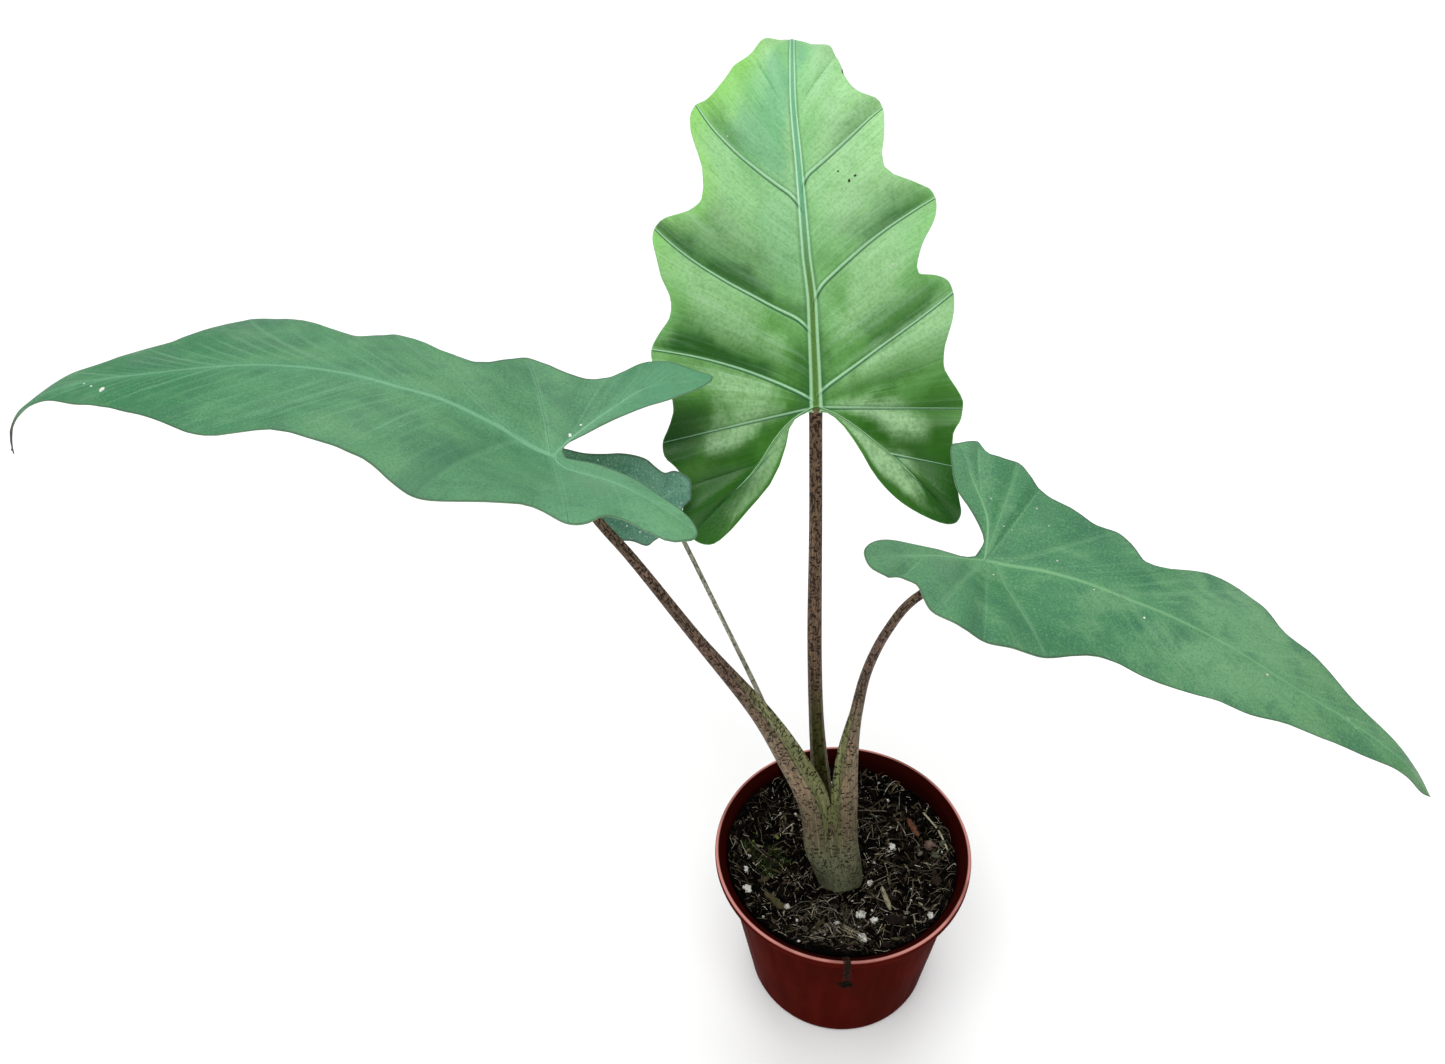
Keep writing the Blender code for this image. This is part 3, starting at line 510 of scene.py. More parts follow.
def new_object(name, bm, *materials):
    """Smooth object of a mesh in progress, which is used up."""
    mesh = bpy.data.meshes.new(name)
    bm.to_mesh(mesh)
    bm.free()
    for material in materials:
        mesh.materials.append(material)
    mesh.shade_smooth()
    obj = bpy.data.objects.new(name, mesh)
    bpy.context.scene.collection.objects.link(obj)
    return obj


def settle(piece, slot, *nodes):
    """The piece rides with the plant and stands for the solids named. The slot is not used."""
    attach(piece, "root")
    if nodes:
        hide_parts(*nodes)


def joined_rings(bm, loops):
    """Closed skin over rings of corners."""
    for low, high in zip(loops, loops[1:]):
        for i in range(len(low)):
            j = (i + 1) % len(low)
            bm.faces.new((low[i], low[j], high[j], high[i]))
    bm.faces.new(loops[0][::-1])
    bm.faces.new(loops[-1])
    bmesh.ops.recalc_face_normals(bm, faces=bm.faces)


def skinned(name, rings, material):
    """Closed object over rings of corners, each a place, its place in the skin and its turn."""
    bm = bmesh.new()
    skin_layer = bm.verts.layers.float_vector.new("skin")
    turn_layer = bm.verts.layers.float_vector.new("turn")
    loops = []
    for ring in rings:
        loop = []
        for place, skin, turn in ring:
            vert = bm.verts.new(Vector(place) * MM)
            vert[skin_layer] = Vector(skin)
            vert[turn_layer] = Vector(turn)
            loop.append(vert)
        loops.append(loop)
    joined_rings(bm, loops)
    return new_object(name, bm, material)


def stalk_ring(point, tangent, facing, width, depth, channel, length):
    """Ring of a stalk, round behind, with a channel between two raised lips on the front."""
    front = unit(facing - tangent * (tangent @ facing))
    side = np.cross(tangent, front)
    ring = []
    for angle in circle(STALK_SIDES):
        x, y = width * math.sin(angle), depth * math.cos(angle)
        turn = min(angle, 2 * math.pi - angle)
        lip = math.exp(-(((turn - LIP_AT) / LIP_WIDTH) ** 2))
        dip = math.exp(-((turn / CHANNEL_WIDTH) ** 2))
        y += channel * (0.55 * lip - 0.8 * dip)
        x += channel * 0.25 * lip * math.copysign(1, math.sin(angle))
        ring.append((point + side * x + front * y, (x, y, length), (turn, channel, width)))
    return ring


def make_stalk(key, spec, place, joint_at, material):
    """Stalk from inside the stem base to the underside of its blade."""
    axis, size = np.array(spec["axis"], float), np.array(spec["size"], float)
    root = place(joint_at, 0.0)
    normal = unit(np.cross(place(joint_at + 0.5, 0.0) - root, place(joint_at, 0.5) - place(joint_at, -0.5)))
    normal = normal * (1 if normal @ (root - axis[-2]) > 0 else -1)
    axis[-1] = root - normal * 1.5
    stations = np.arange(0, (len(axis) - 1) * STALK_STEPS + 1) / STALK_STEPS
    points, sizes = through(axis, stations), through(size, stations)
    tangents = unit(np.gradient(points, axis=0))
    reach = np.r_[0, np.cumsum(np.linalg.norm(np.diff(points, axis=0), axis=1))]
    facing = unit(spec["facing"])
    rings = []
    for p, t, (width, depth, channel), d in zip(points, tangents, sizes, reach - reach[-1]):
        wider = 1 + 0.05 * math.exp(-(d / 2.5) ** 2)
        rings.append(stalk_ring(p, t, facing, width * wider, depth * wider, max(channel, 0), d))
    return skinned("stalk_" + key, rings, material)


def make_stem_base(material):
    """Core between the stalk feet, broad at the soil and narrow where the stalks part."""
    rings = []
    for z, x, y, width, depth in through(STEM_RINGS, np.linspace(0, len(STEM_RINGS) - 1, STEM_STEPS)):
        offsets = [(width * math.cos(a), depth * math.sin(a)) for a in circle(STEM_SIDES)]
        rings.append([((x + dx, y + dy, z), (dx, dy, z - 300), (math.pi, 0, width)) for dx, dy in offsets])
    return skinned("stem_foot", rings, material)


def wall_inner(z):
    """Radius of the wall's inner face at a height."""
    share = (z - WALL_FOOT) / (WALL_TOP - WALL_FOOT)
    return WALL_FOOT_RADIUS + (WALL_TOP_RADIUS - WALL_FOOT_RADIUS) * share - WALL


def make_pot(material):
    """Thin pot with a rolled rim, a rounded foot and drain holes."""
    profile = (
        (0, 1.4), (13.5, 1.4), (14.3, 1.7), (15.5, FLOOR_TOP), (39.2, FLOOR_TOP), (40.6, 3.3), (41.3, 4.4),
        (wall_inner(WALL_FOOT), WALL_FOOT), (wall_inner(30), 30), (wall_inner(60), 60),
        (wall_inner(80), 80), (wall_inner(WALL_TOP), WALL_TOP), (53.2, 85.4), (54.3, 86.5), (55.2, 87.2),
        (55.8, 87.7), (56.3, 88.0), (56.8, 88.0), (57.2, 87.7), (57.45, 87.1), (RIM_RADIUS, 86.4),
        (RIM_RADIUS, 85.0), (57.3, 84.3), (56.8, 83.9), (56.0, 83.8), (54.2, 83.8), (53.5, 83.5),
        (53.15, 82.7), (52.6, 79), (50.0, 59.6), (46.0, 29.7), (WALL_FOOT_RADIUS, WALL_FOOT), (42.5, 3.4),
        (42.0, 1.8), (41.2, 0.7), (40.2, 0.15), (39.2, 0), (35.6, 0), (34.9, 0.3), (34.2, 1.6), (16.6, 1.6),
        (15.4, 0.4), (14.6, 0), (0, 0))
    bm = bmesh.new()
    rings = []
    for r, z in profile:
        if r == 0:
            rings.append([bm.verts.new((0, 0, z * MM))])
            continue
        rings.append([bm.verts.new((r * MM * math.cos(a), r * MM * math.sin(a), z * MM))
                      for a in circle(POT_SIDES)])
    for low, high in zip(rings, rings[1:]):
        for i in range(POT_SIDES):
            j = (i + 1) % POT_SIDES
            corners = [low[i % len(low)], low[j % len(low)], high[j % len(high)], high[i % len(high)]]
            bm.faces.new(list(dict.fromkeys(corners)))
    bmesh.ops.recalc_face_normals(bm, faces=bm.faces)
    pot = new_object("pot_shell", bm, material)
    cutters = []
    for k in range(DRAIN_HOLES):
        angle = 2 * math.pi * (k + 0.5) / DRAIN_HOLES
        bm = bmesh.new()
        bmesh.ops.create_cone(bm, cap_ends=True, segments=40, radius1=DRAIN_RADIUS * MM,
                              radius2=DRAIN_RADIUS * MM, depth=10 * MM)
        place = Vector((DRAIN_CIRCLE * math.cos(angle), DRAIN_CIRCLE * math.sin(angle), 2)) * MM
        bmesh.ops.translate(bm, verts=bm.verts, vec=place)
        cutter = new_object(f"drain_cutter_{k + 1}", bm)
        cut = pot.modifiers.new(cutter.name, "BOOLEAN")
        cut.operation = "DIFFERENCE"
        cut.object = cutter
        cutters.append(cutter)
    bake_modifiers(pot)
    for cutter in cutters:
        bpy.data.objects.remove(cutter)
    pot.data.shade_smooth()
    pot.data.set_sharp_from_angle(angle=math.radians(50))
    return pot


def bake_modifiers(obj):
    """Replace the mesh by what its modifiers make of it."""
    mesh = bpy.data.meshes.new_from_object(obj.evaluated_get(bpy.context.evaluated_depsgraph_get()))
    obj.modifiers.clear()
    obj.data = mesh


def soil_height(x, y):
    """Crumbly surface that rises gently to the stem base."""
    rise = SOIL_MOUND * math.exp(-((x + 1.5) ** 2 + (y + 10) ** 2) / 30**2)
    rough = noise.noise(Vector((x / 7, y / 7, 1.7))) + 0.6 * noise.noise(Vector((x / 3.4, y / 3.4, 5.1)))
    bank = SOIL_BANK + SOIL_BANK_MORE * math.cos(math.atan2(y, x) - math.radians(215))
    bank *= math.exp(-(((wall_inner(SOIL_EDGE) - math.hypot(x, y)) / 7) ** 2))
    return SOIL_EDGE + rise + bank + SOIL_BUMP * rough


def soil_surface(x, y, lift=0.0):
    """Height of the soil with its finer crumbs, and a lift."""
    height = soil_height(x, y)
    near = noise.voronoi(Vector((x / 1.9, y / 1.9, 3.3)))[0]
    height += 0.9 * (0.5 - near[0])
    height += 0.45 * noise.noise(Vector((x / 1.1, y / 1.1, 9.2)))
    height += 0.25 * noise.noise(Vector((x / 0.5, y / 0.5, 2.2)))
    return height + lift


def make_soil(material):
    """Body of soil with a crumbled top, which stops against the pot's wall."""
    angles = circle(SOIL_SIDES)
    edge = wall_inner(SOIL_EDGE + SOIL_BANK - 1)
    rings = [[(r * math.cos(a), r * math.sin(a), z) for a in angles]
             for r, z in ((38.4, FLOOR_TOP + 0.3), (wall_inner(WALL_FOOT) - 1.0, WALL_FOOT),
                          (wall_inner(40) - 0.2, 40), (wall_inner(68) - 0.2, 68))]
    for step in range(SOIL_RINGS):
        r = edge * (1 - step / SOIL_RINGS) ** 0.9
        spots = [(r * math.cos(a), r * math.sin(a)) for a in angles]
        rings.append([(x, y, soil_surface(x, y)) for x, y in spots])
    bm = bmesh.new()
    joined_rings(bm, [[bm.verts.new(Vector(p) * MM) for p in ring] for ring in rings])
    return new_object("soil_body", bm, material)


def ball_points(detail):
    """Corners and faces of a ball of radius 1."""
    bm = bmesh.new()
    bmesh.ops.create_icosphere(bm, subdivisions=detail, radius=1)
    bm.verts.ensure_lookup_table()
    points = [v.co.copy() for v in bm.verts]
    faces = [tuple(v.index for v in f.verts) for f in bm.faces]
    bm.free()
    return points, faces


BALLS = {detail: ball_points(detail) for detail in (1, 2, 3)}
# Section of a splinter of bark, in half widths and half thicknesses
SPLINTER = ((-1, -0.6), (-0.5, -1), (0.5, -1), (1, -0.5), (1, 0.6), (0.4, 1), (-0.5, 0.9), (-1, 0.4))
SPLINTER_STEPS = 7
ANY_WAY = (0, 6.3)            # range for a random heading


class Heap:
    """Mesh that gathers many small pieces, with a tint for each. A piece without one gets it at random."""

    def __init__(self, seed):
        self.bm = bmesh.new()
        self.tint = self.bm.verts.layers.float.new("tint")
        self.random = random.Random(seed)

    def add(self, points, faces, tint):
        """One piece, with corners in millimetres."""
        tint = self.random.random() if tint is None else tint
        verts = [self.bm.verts.new(Vector(p) * MM) for p in points]
        for vert in verts:
            vert[self.tint] = tint
        for face in faces:
            self.bm.faces.new([verts[i] for i in face])

    def tube(self, points, sides, tint):
        """Closed tube over rings of points."""
        faces = []
        for start in range(0, len(points) - sides, sides):
            for k in range(sides):
                j = (k + 1) % sides
                faces.append((start + k, start + j, start + sides + j, start + sides + k))
        faces.append(tuple(range(sides))[::-1])
        faces.append(tuple(range(len(points) - sides, len(points))))
        self.add(points, faces, tint)

    def lump(self, place, size, detail, rough, flat, tint=None, turn=None):
        """Rounded crumb with an uneven skin."""
        ball, faces = BALLS[detail]
        shift = Vector([self.random.uniform(-50, 50) for _ in range(3)])
        spin = Matrix.Rotation(self.random.uniform(*ANY_WAY), 3, "Z") if turn is None else turn
        stretch = Vector((self.random.uniform(0.8, 1.25), self.random.uniform(0.8, 1.25),
                          self.random.uniform(0.8, 1.1) * flat)) * size
        points = []
        for p in ball:
            grown = p * (1 + rough * (noise.noise(p * 1.7 + shift) + 0.5 * noise.noise(p * 4.1 + shift)))
            points.append(Vector(place) + spin @ (grown * stretch))
        self.add(points, faces, tint)

    def strand(self, path, width, tint=None, sides=5, taper=0.5, flat=1.0):
        """Thin root or straw along a smooth path."""
        count = max(4, int(3 * len(path)))
        line = through(path, np.linspace(0, len(path) - 1, count))
        way = unit(np.gradient(line, axis=0))
        points = []
        for i, (p, t) in enumerate(zip(line, way)):
            side = unit(np.cross(t, (0.1, 0.2, 1.0)))
            rise = np.cross(side, t)
            here = width * (1 - taper * (i / (count - 1))) * (0.75 + 0.5 * self.random.random())
            for angle in circle(sides):
                points.append(p + side * here * math.cos(angle) + rise * here * flat * math.sin(angle))
        self.tube(points, sides, tint)

    def flake(self, place, length, width, thick, heading, tilt, tint):
        """Splinter of bark: a bent, jagged plank."""
        turn = Matrix.Rotation(heading, 3, "Z") @ Matrix.Rotation(tilt, 3, "Y")
        turn = turn @ Matrix.Rotation(self.random.uniform(-0.5, 0.5), 3, "X")
        bend = self.random.uniform(-0.08, 0.08)
        points = []
        for i in range(SPLINTER_STEPS):
            s = i / (SPLINTER_STEPS - 1) - 0.5
            wide = width * (0.35 + 0.65 * math.cos(math.pi * s) ** 0.5 * self.random.uniform(0.75, 1.1))
            for x, y in SPLINTER:
                jag = self.random.uniform(0.8, 1.15)
                z = y * thick * 0.5 * jag + bend * length * 4 * s * s
                points.append(Vector(place) + turn @ Vector((s * length, x * wide * 0.5 * jag, z)))
        self.tube(points, len(SPLINTER), tint)

    def scatter(self, count, margin, sizes, seat, detail, flat):
        """Crumbs of random size over the soil, each seated by a share of its size."""
        for _ in range(count):
            x, y = on_soil(self.random, margin)
            size = self.random.uniform(*sizes)
            self.lump((x, y, soil_surface(x, y, seat * size)), size, detail, 0.5, flat)

    def finish(self, name, material):
        """Object of all pieces so far."""
        bmesh.ops.recalc_face_normals(self.bm, faces=self.bm.faces)
        obj = new_object(name, self.bm, material)
        obj.data.set_sharp_from_angle(angle=math.radians(60))
        return obj


def on_soil(rng, margin):
    """Random spot on the soil, clear of the stem."""
    while True:
        r, a = (SOIL_REACH - 0.6 * margin) * math.sqrt(rng.random()), rng.uniform(0, 2 * math.pi)
        x, y = r * math.cos(a), r * math.sin(a)
        if ((x + 1.5) / 10.5) ** 2 + ((y + 10) / 9.5) ** 2 > 1:
            return x, y


def soil_crumbs(material):
    """Crumbs of peat over the whole soil."""
    heap = Heap(11)
    heap.scatter(900, 0.9, (0.6, 1.5), 0.2, 2, 0.8)
    heap.scatter(4200, 0.9, (0.25, 0.6), 0.3, 1, 0.8)
    return heap.finish("soil_crumbs", material)


def wandering(rng, x, y, lift, length, heading, steps, curl, dip):
    """Path over the soil that bends as it goes."""
    path = []
    for k in range(steps + 1):
        path.append((x, y, soil_surface(x, y) + lift + dip * math.sin(math.pi * (k / steps))))
        heading += rng.uniform(-curl, curl)
        x += length / steps * math.cos(heading)
        y += length / steps * math.sin(heading)
        r = math.hypot(x, y)
        if r > SOIL_REACH:
            x, y = x * SOIL_REACH / r, y * SOIL_REACH / r
    return path


def soil_fibres(material):
    """Fine roots and coir strands, more of them in front of the stem."""
    heap = Heap(23)
    rng = heap.random
    for k in range(2700):
        x, y = on_soil(rng, 0.8)
        if k % 5 == 0:
            x, y = rng.gauss(-6, 9), rng.gauss(-31, 7)
            if math.hypot(x, y) > 47:
                continue
        path = wandering(rng, x, y, rng.uniform(0.1, 1.0), rng.uniform(1.5, 8), rng.uniform(*ANY_WAY),
                         3, 0.22, rng.uniform(0, 0.6))
        heap.strand(path, rng.uniform(0.07, 0.17), sides=3)
    for _ in range(46):
        x, y = on_soil(rng, 3)
        path = wandering(rng, x, y, rng.uniform(0.5, 1.2), rng.uniform(8, 18), rng.uniform(*ANY_WAY),
                         6, 0.2, rng.uniform(0.4, 1.2))
        heap.strand(path, rng.uniform(0.1, 0.18))
    return heap.finish("soil_fibres", material)


def soil_bark(material):
    """Chips of bark, among them the ones that stand out."""
    heap = Heap(31)
    rng = heap.random
    known = (
        (-31.5, -19, 12, 4.5, 2.0, -0.75, 0.1, 0.55), (35.5, 17.5, 11, 3.0, 1.6, -1.25, 0.05, 0.95),
        (20, -31.5, 9.5, 4.0, 1.8, -0.3, 0.05, 0.05), (42, -15, 8, 4.5, 1.6, -0.9, 0.15, 0.35),
        (-36, -8, 6, 2.4, 1.2, 0.4, 0.1, 0.45), (-12, -31, 7, 2.6, 1.4, 0.6, 0.05, 0.5))
    for x, y, *rest in known:
        heap.flake((x, y, soil_height(x, y) + 0.9), *rest)
    for _ in range(260):
        x, y = on_soil(rng, 3)
        length = rng.uniform(2, 7)
        place = (x, y, soil_height(x, y) + rng.uniform(0.1, 0.9))
        heap.flake(place, length, length * rng.uniform(0.08, 0.3), rng.uniform(0.3, 0.9),
                   rng.uniform(*ANY_WAY), rng.uniform(-0.35, 0.35), rng.random() * 0.8)
    return heap.finish("soil_bark", material)


def soil_perlite(material):
    """White grains of perlite."""
    heap = Heap(47)
    known = (
        (-44.1, -17.6, 2.6), (24.0, 6.2, 2.0), (5.2, -39.4, 2.4), (5.4, -28.6, 2.1), (11.0, -31.0, 1.7),
        (11.4, -13.6, 1.5), (35.4, -33.0, 1.8), (-26.5, -22.2, 1.4), (-5.3, -32.2, 1.2), (14.6, -2.3, 0.9),
        (1.0, 44.0, 2.2), (-11.0, -37.0, 0.9), (-37.5, -32.0, 0.8), (-19.0, 27.0, 1.2), (-42.0, 4.0, 0.9),
        (-44.0, -3.5, 1.4), (7.0, 21.5, 1.3), (25.5, 33.0, 1.1), (2.5, -22.5, 0.8), (33.5, -33.8, 0.9))
    for x, y, size in known:
        size *= 0.8
        heap.lump((x, y, soil_surface(x, y, 0.55 * size)), size, 3, 0.6, 0.85)
    heap.scatter(70, 2, (0.25, 0.75), 0.4, 2, 0.85)
    return heap.finish("soil_perlite", material)


def soil_pale_chips(material):
    """Pale splinters and the long piece of straw at the right."""
    heap = Heap(53)
    rng = heap.random
    heap.flake((17.6, -21.5, 77.9), 11.5, 2.3, 1.1, -1.35, 0.12, 0.6)
    straws = ((0.55, 0.9, ((40.5, 24), (43.5, 18.5), (46, 12), (47.6, 6), (48.6, 1))),
              (0.4, 0.8, ((40.6, 23.2), (44.5, 16.5), (47.3, 9))))
    for width, tint, spots in straws:
        heap.strand([(x, y, soil_height(x, y) + 0.9) for x, y in spots], width, tint, 7, 0.3, 0.45)
    for _ in range(34):
        x, y = on_soil(rng, 4)
        length = rng.uniform(1.5, 5)
        heap.flake((x, y, soil_surface(x, y, 0.4)), length, length * rng.uniform(0.12, 0.3),
                   rng.uniform(0.3, 0.6), rng.uniform(*ANY_WAY), rng.uniform(-0.3, 0.3), rng.uniform(0, 0.7))
    for _ in range(6):
        start = (rng.uniform(-8, 0), rng.uniform(-39, -32))
        end = (start[0] + rng.uniform(6, 12), start[1] - rng.uniform(3, 8))
        path = [(start[0] * (1 - s) + end[0] * s, start[1] * (1 - s) + end[1] * s,
                 soil_height(*start) + 0.6 + rng.uniform(0, 0.5)) for s in (0, 0.35, 0.7, 1)]
        heap.strand(path, rng.uniform(0.18, 0.3), rng.uniform(0.3, 0.9), 5, 0.3)
    return heap.finish("soil_pale_chips", material)


def soil_twigs(material):
    """The long thin roots that lie over the soil."""
    heap = Heap(59)
    lines = (
        ((20.5, -2.6, 78.2), (26, -5.2, 77.6), (32, -6.8, 76.8), (39, -7, 76.4), (45, -4.5, 76.4),
         (50.2, 0, 76.9)),
        ((9.6, 23, 76.6), (14, 20, 77.6), (18.5, 18.6, 78.2), (23, 19.5, 79.2)),
        ((9.6, 42.5, 76), (15, 44, 77.8), (21, 45, 79.5), (26, 46.2, 81.2)),
        ((19, -10.5, 78.6), (14.5, -12.5, 79), (9.8, -14.8, 78.4), (6, -18, 77.6)),
        ((-35, -29, 75.6), (-28, -32.5, 76.6), (-20, -33.5, 76.8), (-12, -33.5, 76.6)),
        ((24, -11, 77.6), (18, -13.5, 78.4), (12, -16.5, 78)),
        ((-20.5, 27, 76), (-15, 22, 77.4), (-11.5, 15, 77)))
    for line in lines:
        line = [(x, y, max(z, soil_surface(x, y, 0.4))) for x, y, z in line]
        heap.strand(line, 0.22, heap.random.uniform(0.5, 0.72), 6, 0.35)
    return heap.finish("soil_twigs", material)


def soil_moss(material):
    """Tufts of moss at the left and a few green specks."""
    heap = Heap(61)
    rng = heap.random
    for cx, cy, spread in ((-38, 3, 6), (-30, 7, 5), (-27, 1, 4), (-42, 9, 3), (-33, -3, 4)):
        for _ in range(115):
            x, y = rng.gauss(cx, spread * 0.5), rng.gauss(cy, spread * 0.5)
            if math.hypot(x, y) > 48.5:
                continue
            z = soil_surface(x, y)
            lean = rng.uniform(*ANY_WAY)
            tall = rng.uniform(0.7, 2.0)
            path = [(x, y, z - 0.2), (x + 0.2 * math.cos(lean), y + 0.2 * math.sin(lean), z + 0.5 * tall),
                    (x + 0.7 * tall * math.cos(lean), y + 0.7 * tall * math.sin(lean), z + 0.8 * tall)]
            heap.strand(path, rng.uniform(0.1, 0.24), None, 4, 0.7, 0.6)
    for x, y, size in ((-38.6, 16.8, 0.9), (-28.3, 14.4, 1.0), (-38.4, 15.2, 0.7), (-40, 12, 0.6)):
        for _ in range(5):
            heap.lump((x + rng.uniform(-0.8, 0.8), y + rng.uniform(-0.8, 0.8), soil_surface(x, y, 0.7)),
                      size * rng.uniform(0.4, 0.8), 1, 0.4, 0.6, 0.95)
    return heap.finish("soil_moss", material)


def soil_stones(material):
    """Small smooth stones at the right."""
    heap = Heap(67)
    for x, y, size, tint in ((42.0, 6.2, 2.5, 0.95), (43.4, 0.4, 2.1, 0.2), (47.4, 5.4, 1.5, 0.3),
                             (36.5, 2.5, 1.2, 0.6), (40.5, -12.5, 1.6, 0.5)):
        heap.lump((x, y, soil_surface(x, y, 0.4 * size)), size, 3, 0.35, 0.7, tint)
    return heap.finish("soil_stones", material)


def rim_roots(material):
    """Tuft of fine roots that hangs over the front of the rim, with a clot of soil at its end."""
    heap = Heap(71)
    rng = heap.random
    for _ in range(26):
        a, spread = rng.uniform(-5.4, -2.4), rng.uniform(-0.9, 0.9)
        low = rng.uniform(69.5, 80)
        path = [(a - 2.5 + rng.uniform(-2, 2), -47 + rng.uniform(-2, 2), 75.5),
                (a - 1.2, -51.6, 82), (a - 0.4, -54.4, 87.9 + rng.uniform(0, 0.5)),
                (a, -56.8, 88.5 + rng.uniform(0, 0.4)),
                (a + 0.3 * spread, -57.9, 86.4 + rng.uniform(-0.8, 0.6)),
                (a * 0.55 - 1.6 + spread, -57.9 + rng.uniform(-0.3, 0.2), 0.5 * (low + 86)),
                (a * 0.4 - 2.2 + 1.6 * spread, -57.4 + rng.uniform(-0.4, 0.3), low)]
        heap.strand(path, rng.uniform(0.1, 0.2))
    for _ in range(60):
        x, z = rng.gauss(-3.9, 1.2), rng.gauss(70.6, 0.7)
        heap.lump((x, -57.0 + rng.uniform(-0.5, 0.5), z), rng.uniform(0.3, 0.75), 2, 0.5, 0.8, 0.1)
    for _ in range(30):
        x, z = rng.uniform(-5, -2.4), rng.uniform(71, 86)
        heap.lump((x, -57.6 + rng.uniform(-0.3, 0.3), z), rng.uniform(0.15, 0.4), 1, 0.5, 0.8, 0.1)
    return heap.finish("rim_roots", material)


class Paint:
    """Short ways to lay out the nodes of one material, whose colour is built up layer by layer."""

    def __init__(self, name):
        self.material = bpy.data.materials.new(name)
        self.material.use_nodes = True
        self.tree = self.material.node_tree
        self.shader = self.tree.nodes["Principled BSDF"]
        self.shader.inputs["Metallic"].default_value = 0
        self.shader.inputs["IOR"].default_value = 1.45
        self.colour = None

    def put(self, socket, value):
        """Link a socket to the input, or set the input to a constant."""
        if isinstance(value, bpy.types.NodeSocket):
            self.tree.links.new(value, socket)
        elif isinstance(value, tuple) and len(value) == 3 and socket.type == "RGBA":
            socket.default_value = (*value, 1)
        else:
            socket.default_value = value

    def node(self, kind, inputs, **settings):
        """First output of a new node with these settings and inputs."""
        node = self.tree.nodes.new("ShaderNode" + kind)
        for name, value in settings.items():
            setattr(node, name, value)
        for name, value in inputs.items():
            self.put(node.inputs[name], value)
        return node.outputs[0]

    def math(self, operation, *values, clamp=False):
        """Result of one operation on the values."""
        return self.node("Math", dict(enumerate(values)), operation=operation, use_clamp=clamp)

    def add(self, *values):
        """Sum of the values."""
        return values[0] if len(values) == 1 else self.math("ADD", self.add(*values[:-1]), values[-1])

    def times(self, *values):
        """Product of the values, where a tuple stands for the change that between makes of it."""
        *first, last = values
        last = self.between(*last) if isinstance(last, tuple) else last
        return self.math("MULTIPLY", self.times(*first), last) if first else last

    def between(self, value, low, high, to_low=0.0, to_high=1.0):
        """Smooth change from to_low to to_high while the value goes from low to high."""
        inputs = {"Value": value, "From Min": low, "From Max": high, "To Min": to_low, "To Max": to_high}
        return self.node("MapRange", inputs, interpolation_type="SMOOTHSTEP")

    def mix(self, share, a, b, blend="MIX"):
        """Colour a, or where the share is high, b."""
        node = self.tree.nodes.new("ShaderNodeMix")
        node.data_type = "RGBA"
        node.blend_type = blend
        colours = [s for s in node.inputs if s.type == "RGBA"]
        self.put(node.inputs[0], share)
        self.put(colours[0], a)
        self.put(colours[1], b)
        return next(s for s in node.outputs if s.type == "RGBA")

    def over(self, tone, *shares):
        """Lay a tone over the colour so far, by the product of the shares, as times takes them."""
        self.colour = self.mix(self.times(*shares), self.colour, tone)

    def spot(self, name, output="Fac"):
        """Value or vector of a mesh attribute."""
        node = self.tree.nodes.new("ShaderNodeAttribute")
        node.attribute_name = name
        return node.outputs[output]

    def ramp(self, share, stops):
        """Colour that goes through the stops, each a place from 0 to 1 and a colour."""
        node = self.tree.nodes.new("ShaderNodeValToRGB")
        elements = node.color_ramp.elements
        while len(elements) < len(stops):
            elements.new(0.5)
        for element, (at, colour) in zip(elements, stops):
            element.position = at
            element.color = (*colour, 1)
        self.put(node.inputs[0], share)
        return node.outputs[0]

    def parts(self, vector):
        """The three numbers of a vector."""
        node = self.tree.nodes.new("ShaderNodeSeparateXYZ")
        self.put(node.inputs[0], vector)
        return node.outputs[0], node.outputs[1], node.outputs[2]

    def place(self, scale=1):
        """Position in millimetres, scaled by one number or three."""
        node = self.tree.nodes.new("ShaderNodeTexCoord")
        return self.scaled(node.outputs["Object"], scale, 1000)

    def scaled(self, vector, scale, unit_size=1):
        """Vector scaled by one number or three."""
        scale = scale if isinstance(scale, tuple) else (scale,) * 3
        factors = tuple(s * unit_size for s in scale)
        return self.node("VectorMath", {0: vector, 1: factors}, operation="MULTIPLY")

    def noise(self, vector, detail, roughness):
        """Noise with grains about one unit of the vector wide."""
        inputs = {"Vector": vector, "Scale": 1, "Detail": detail, "Roughness": roughness}
        return self.node("TexNoise", inputs)

    def cells(self, vector, feature):
        """Distance to the middle or to the edge of cells about one unit of the vector wide."""
        return self.node("TexVoronoi", {"Vector": vector, "Scale": 1}, feature=feature)

    def bump(self, height, distance):
        """Fine relief of the given depth in millimetres."""
        inputs = {"Strength": 1, "Distance": distance * MM, "Height": height}
        self.put(self.shader.inputs["Normal"], self.node("Bump", inputs))

    def finish(self, roughness, shine=0.5):
        """The material, with the colour so far."""
        self.put(self.shader.inputs["Base Color"], self.colour)
        self.put(self.shader.inputs["Roughness"], roughness)
        self.shader.inputs["Specular IOR Level"].default_value = shine
        return self.material


class LeafPaint(Paint):
    """Paint with the measures that every point of a blade carries."""

    def __init__(self, name):
        super().__init__(name)
        self.rib, self.vein = self.spot("rib"), self.spot("vein")
        self.flat, self.strand = self.spot("flat", "Vector"), self.spot("strand", "Vector")
        self.along, self.across, self.edge = self.parts(self.flat)
        self.lane, self.reach, self.half = self.parts(self.strand)

    def flat_noise(self, scale, detail, roughness):
        """Noise over the flat blade."""
        scale = scale if isinstance(scale, tuple) else (scale, scale, 0)
        return self.noise(self.scaled(self.flat, scale), detail, roughness)

    def strand_noise(self, scale, detail, roughness):
        """Noise drawn out along the strands between midrib and margin."""
        return self.noise(self.scaled(self.strand, scale), detail, roughness)
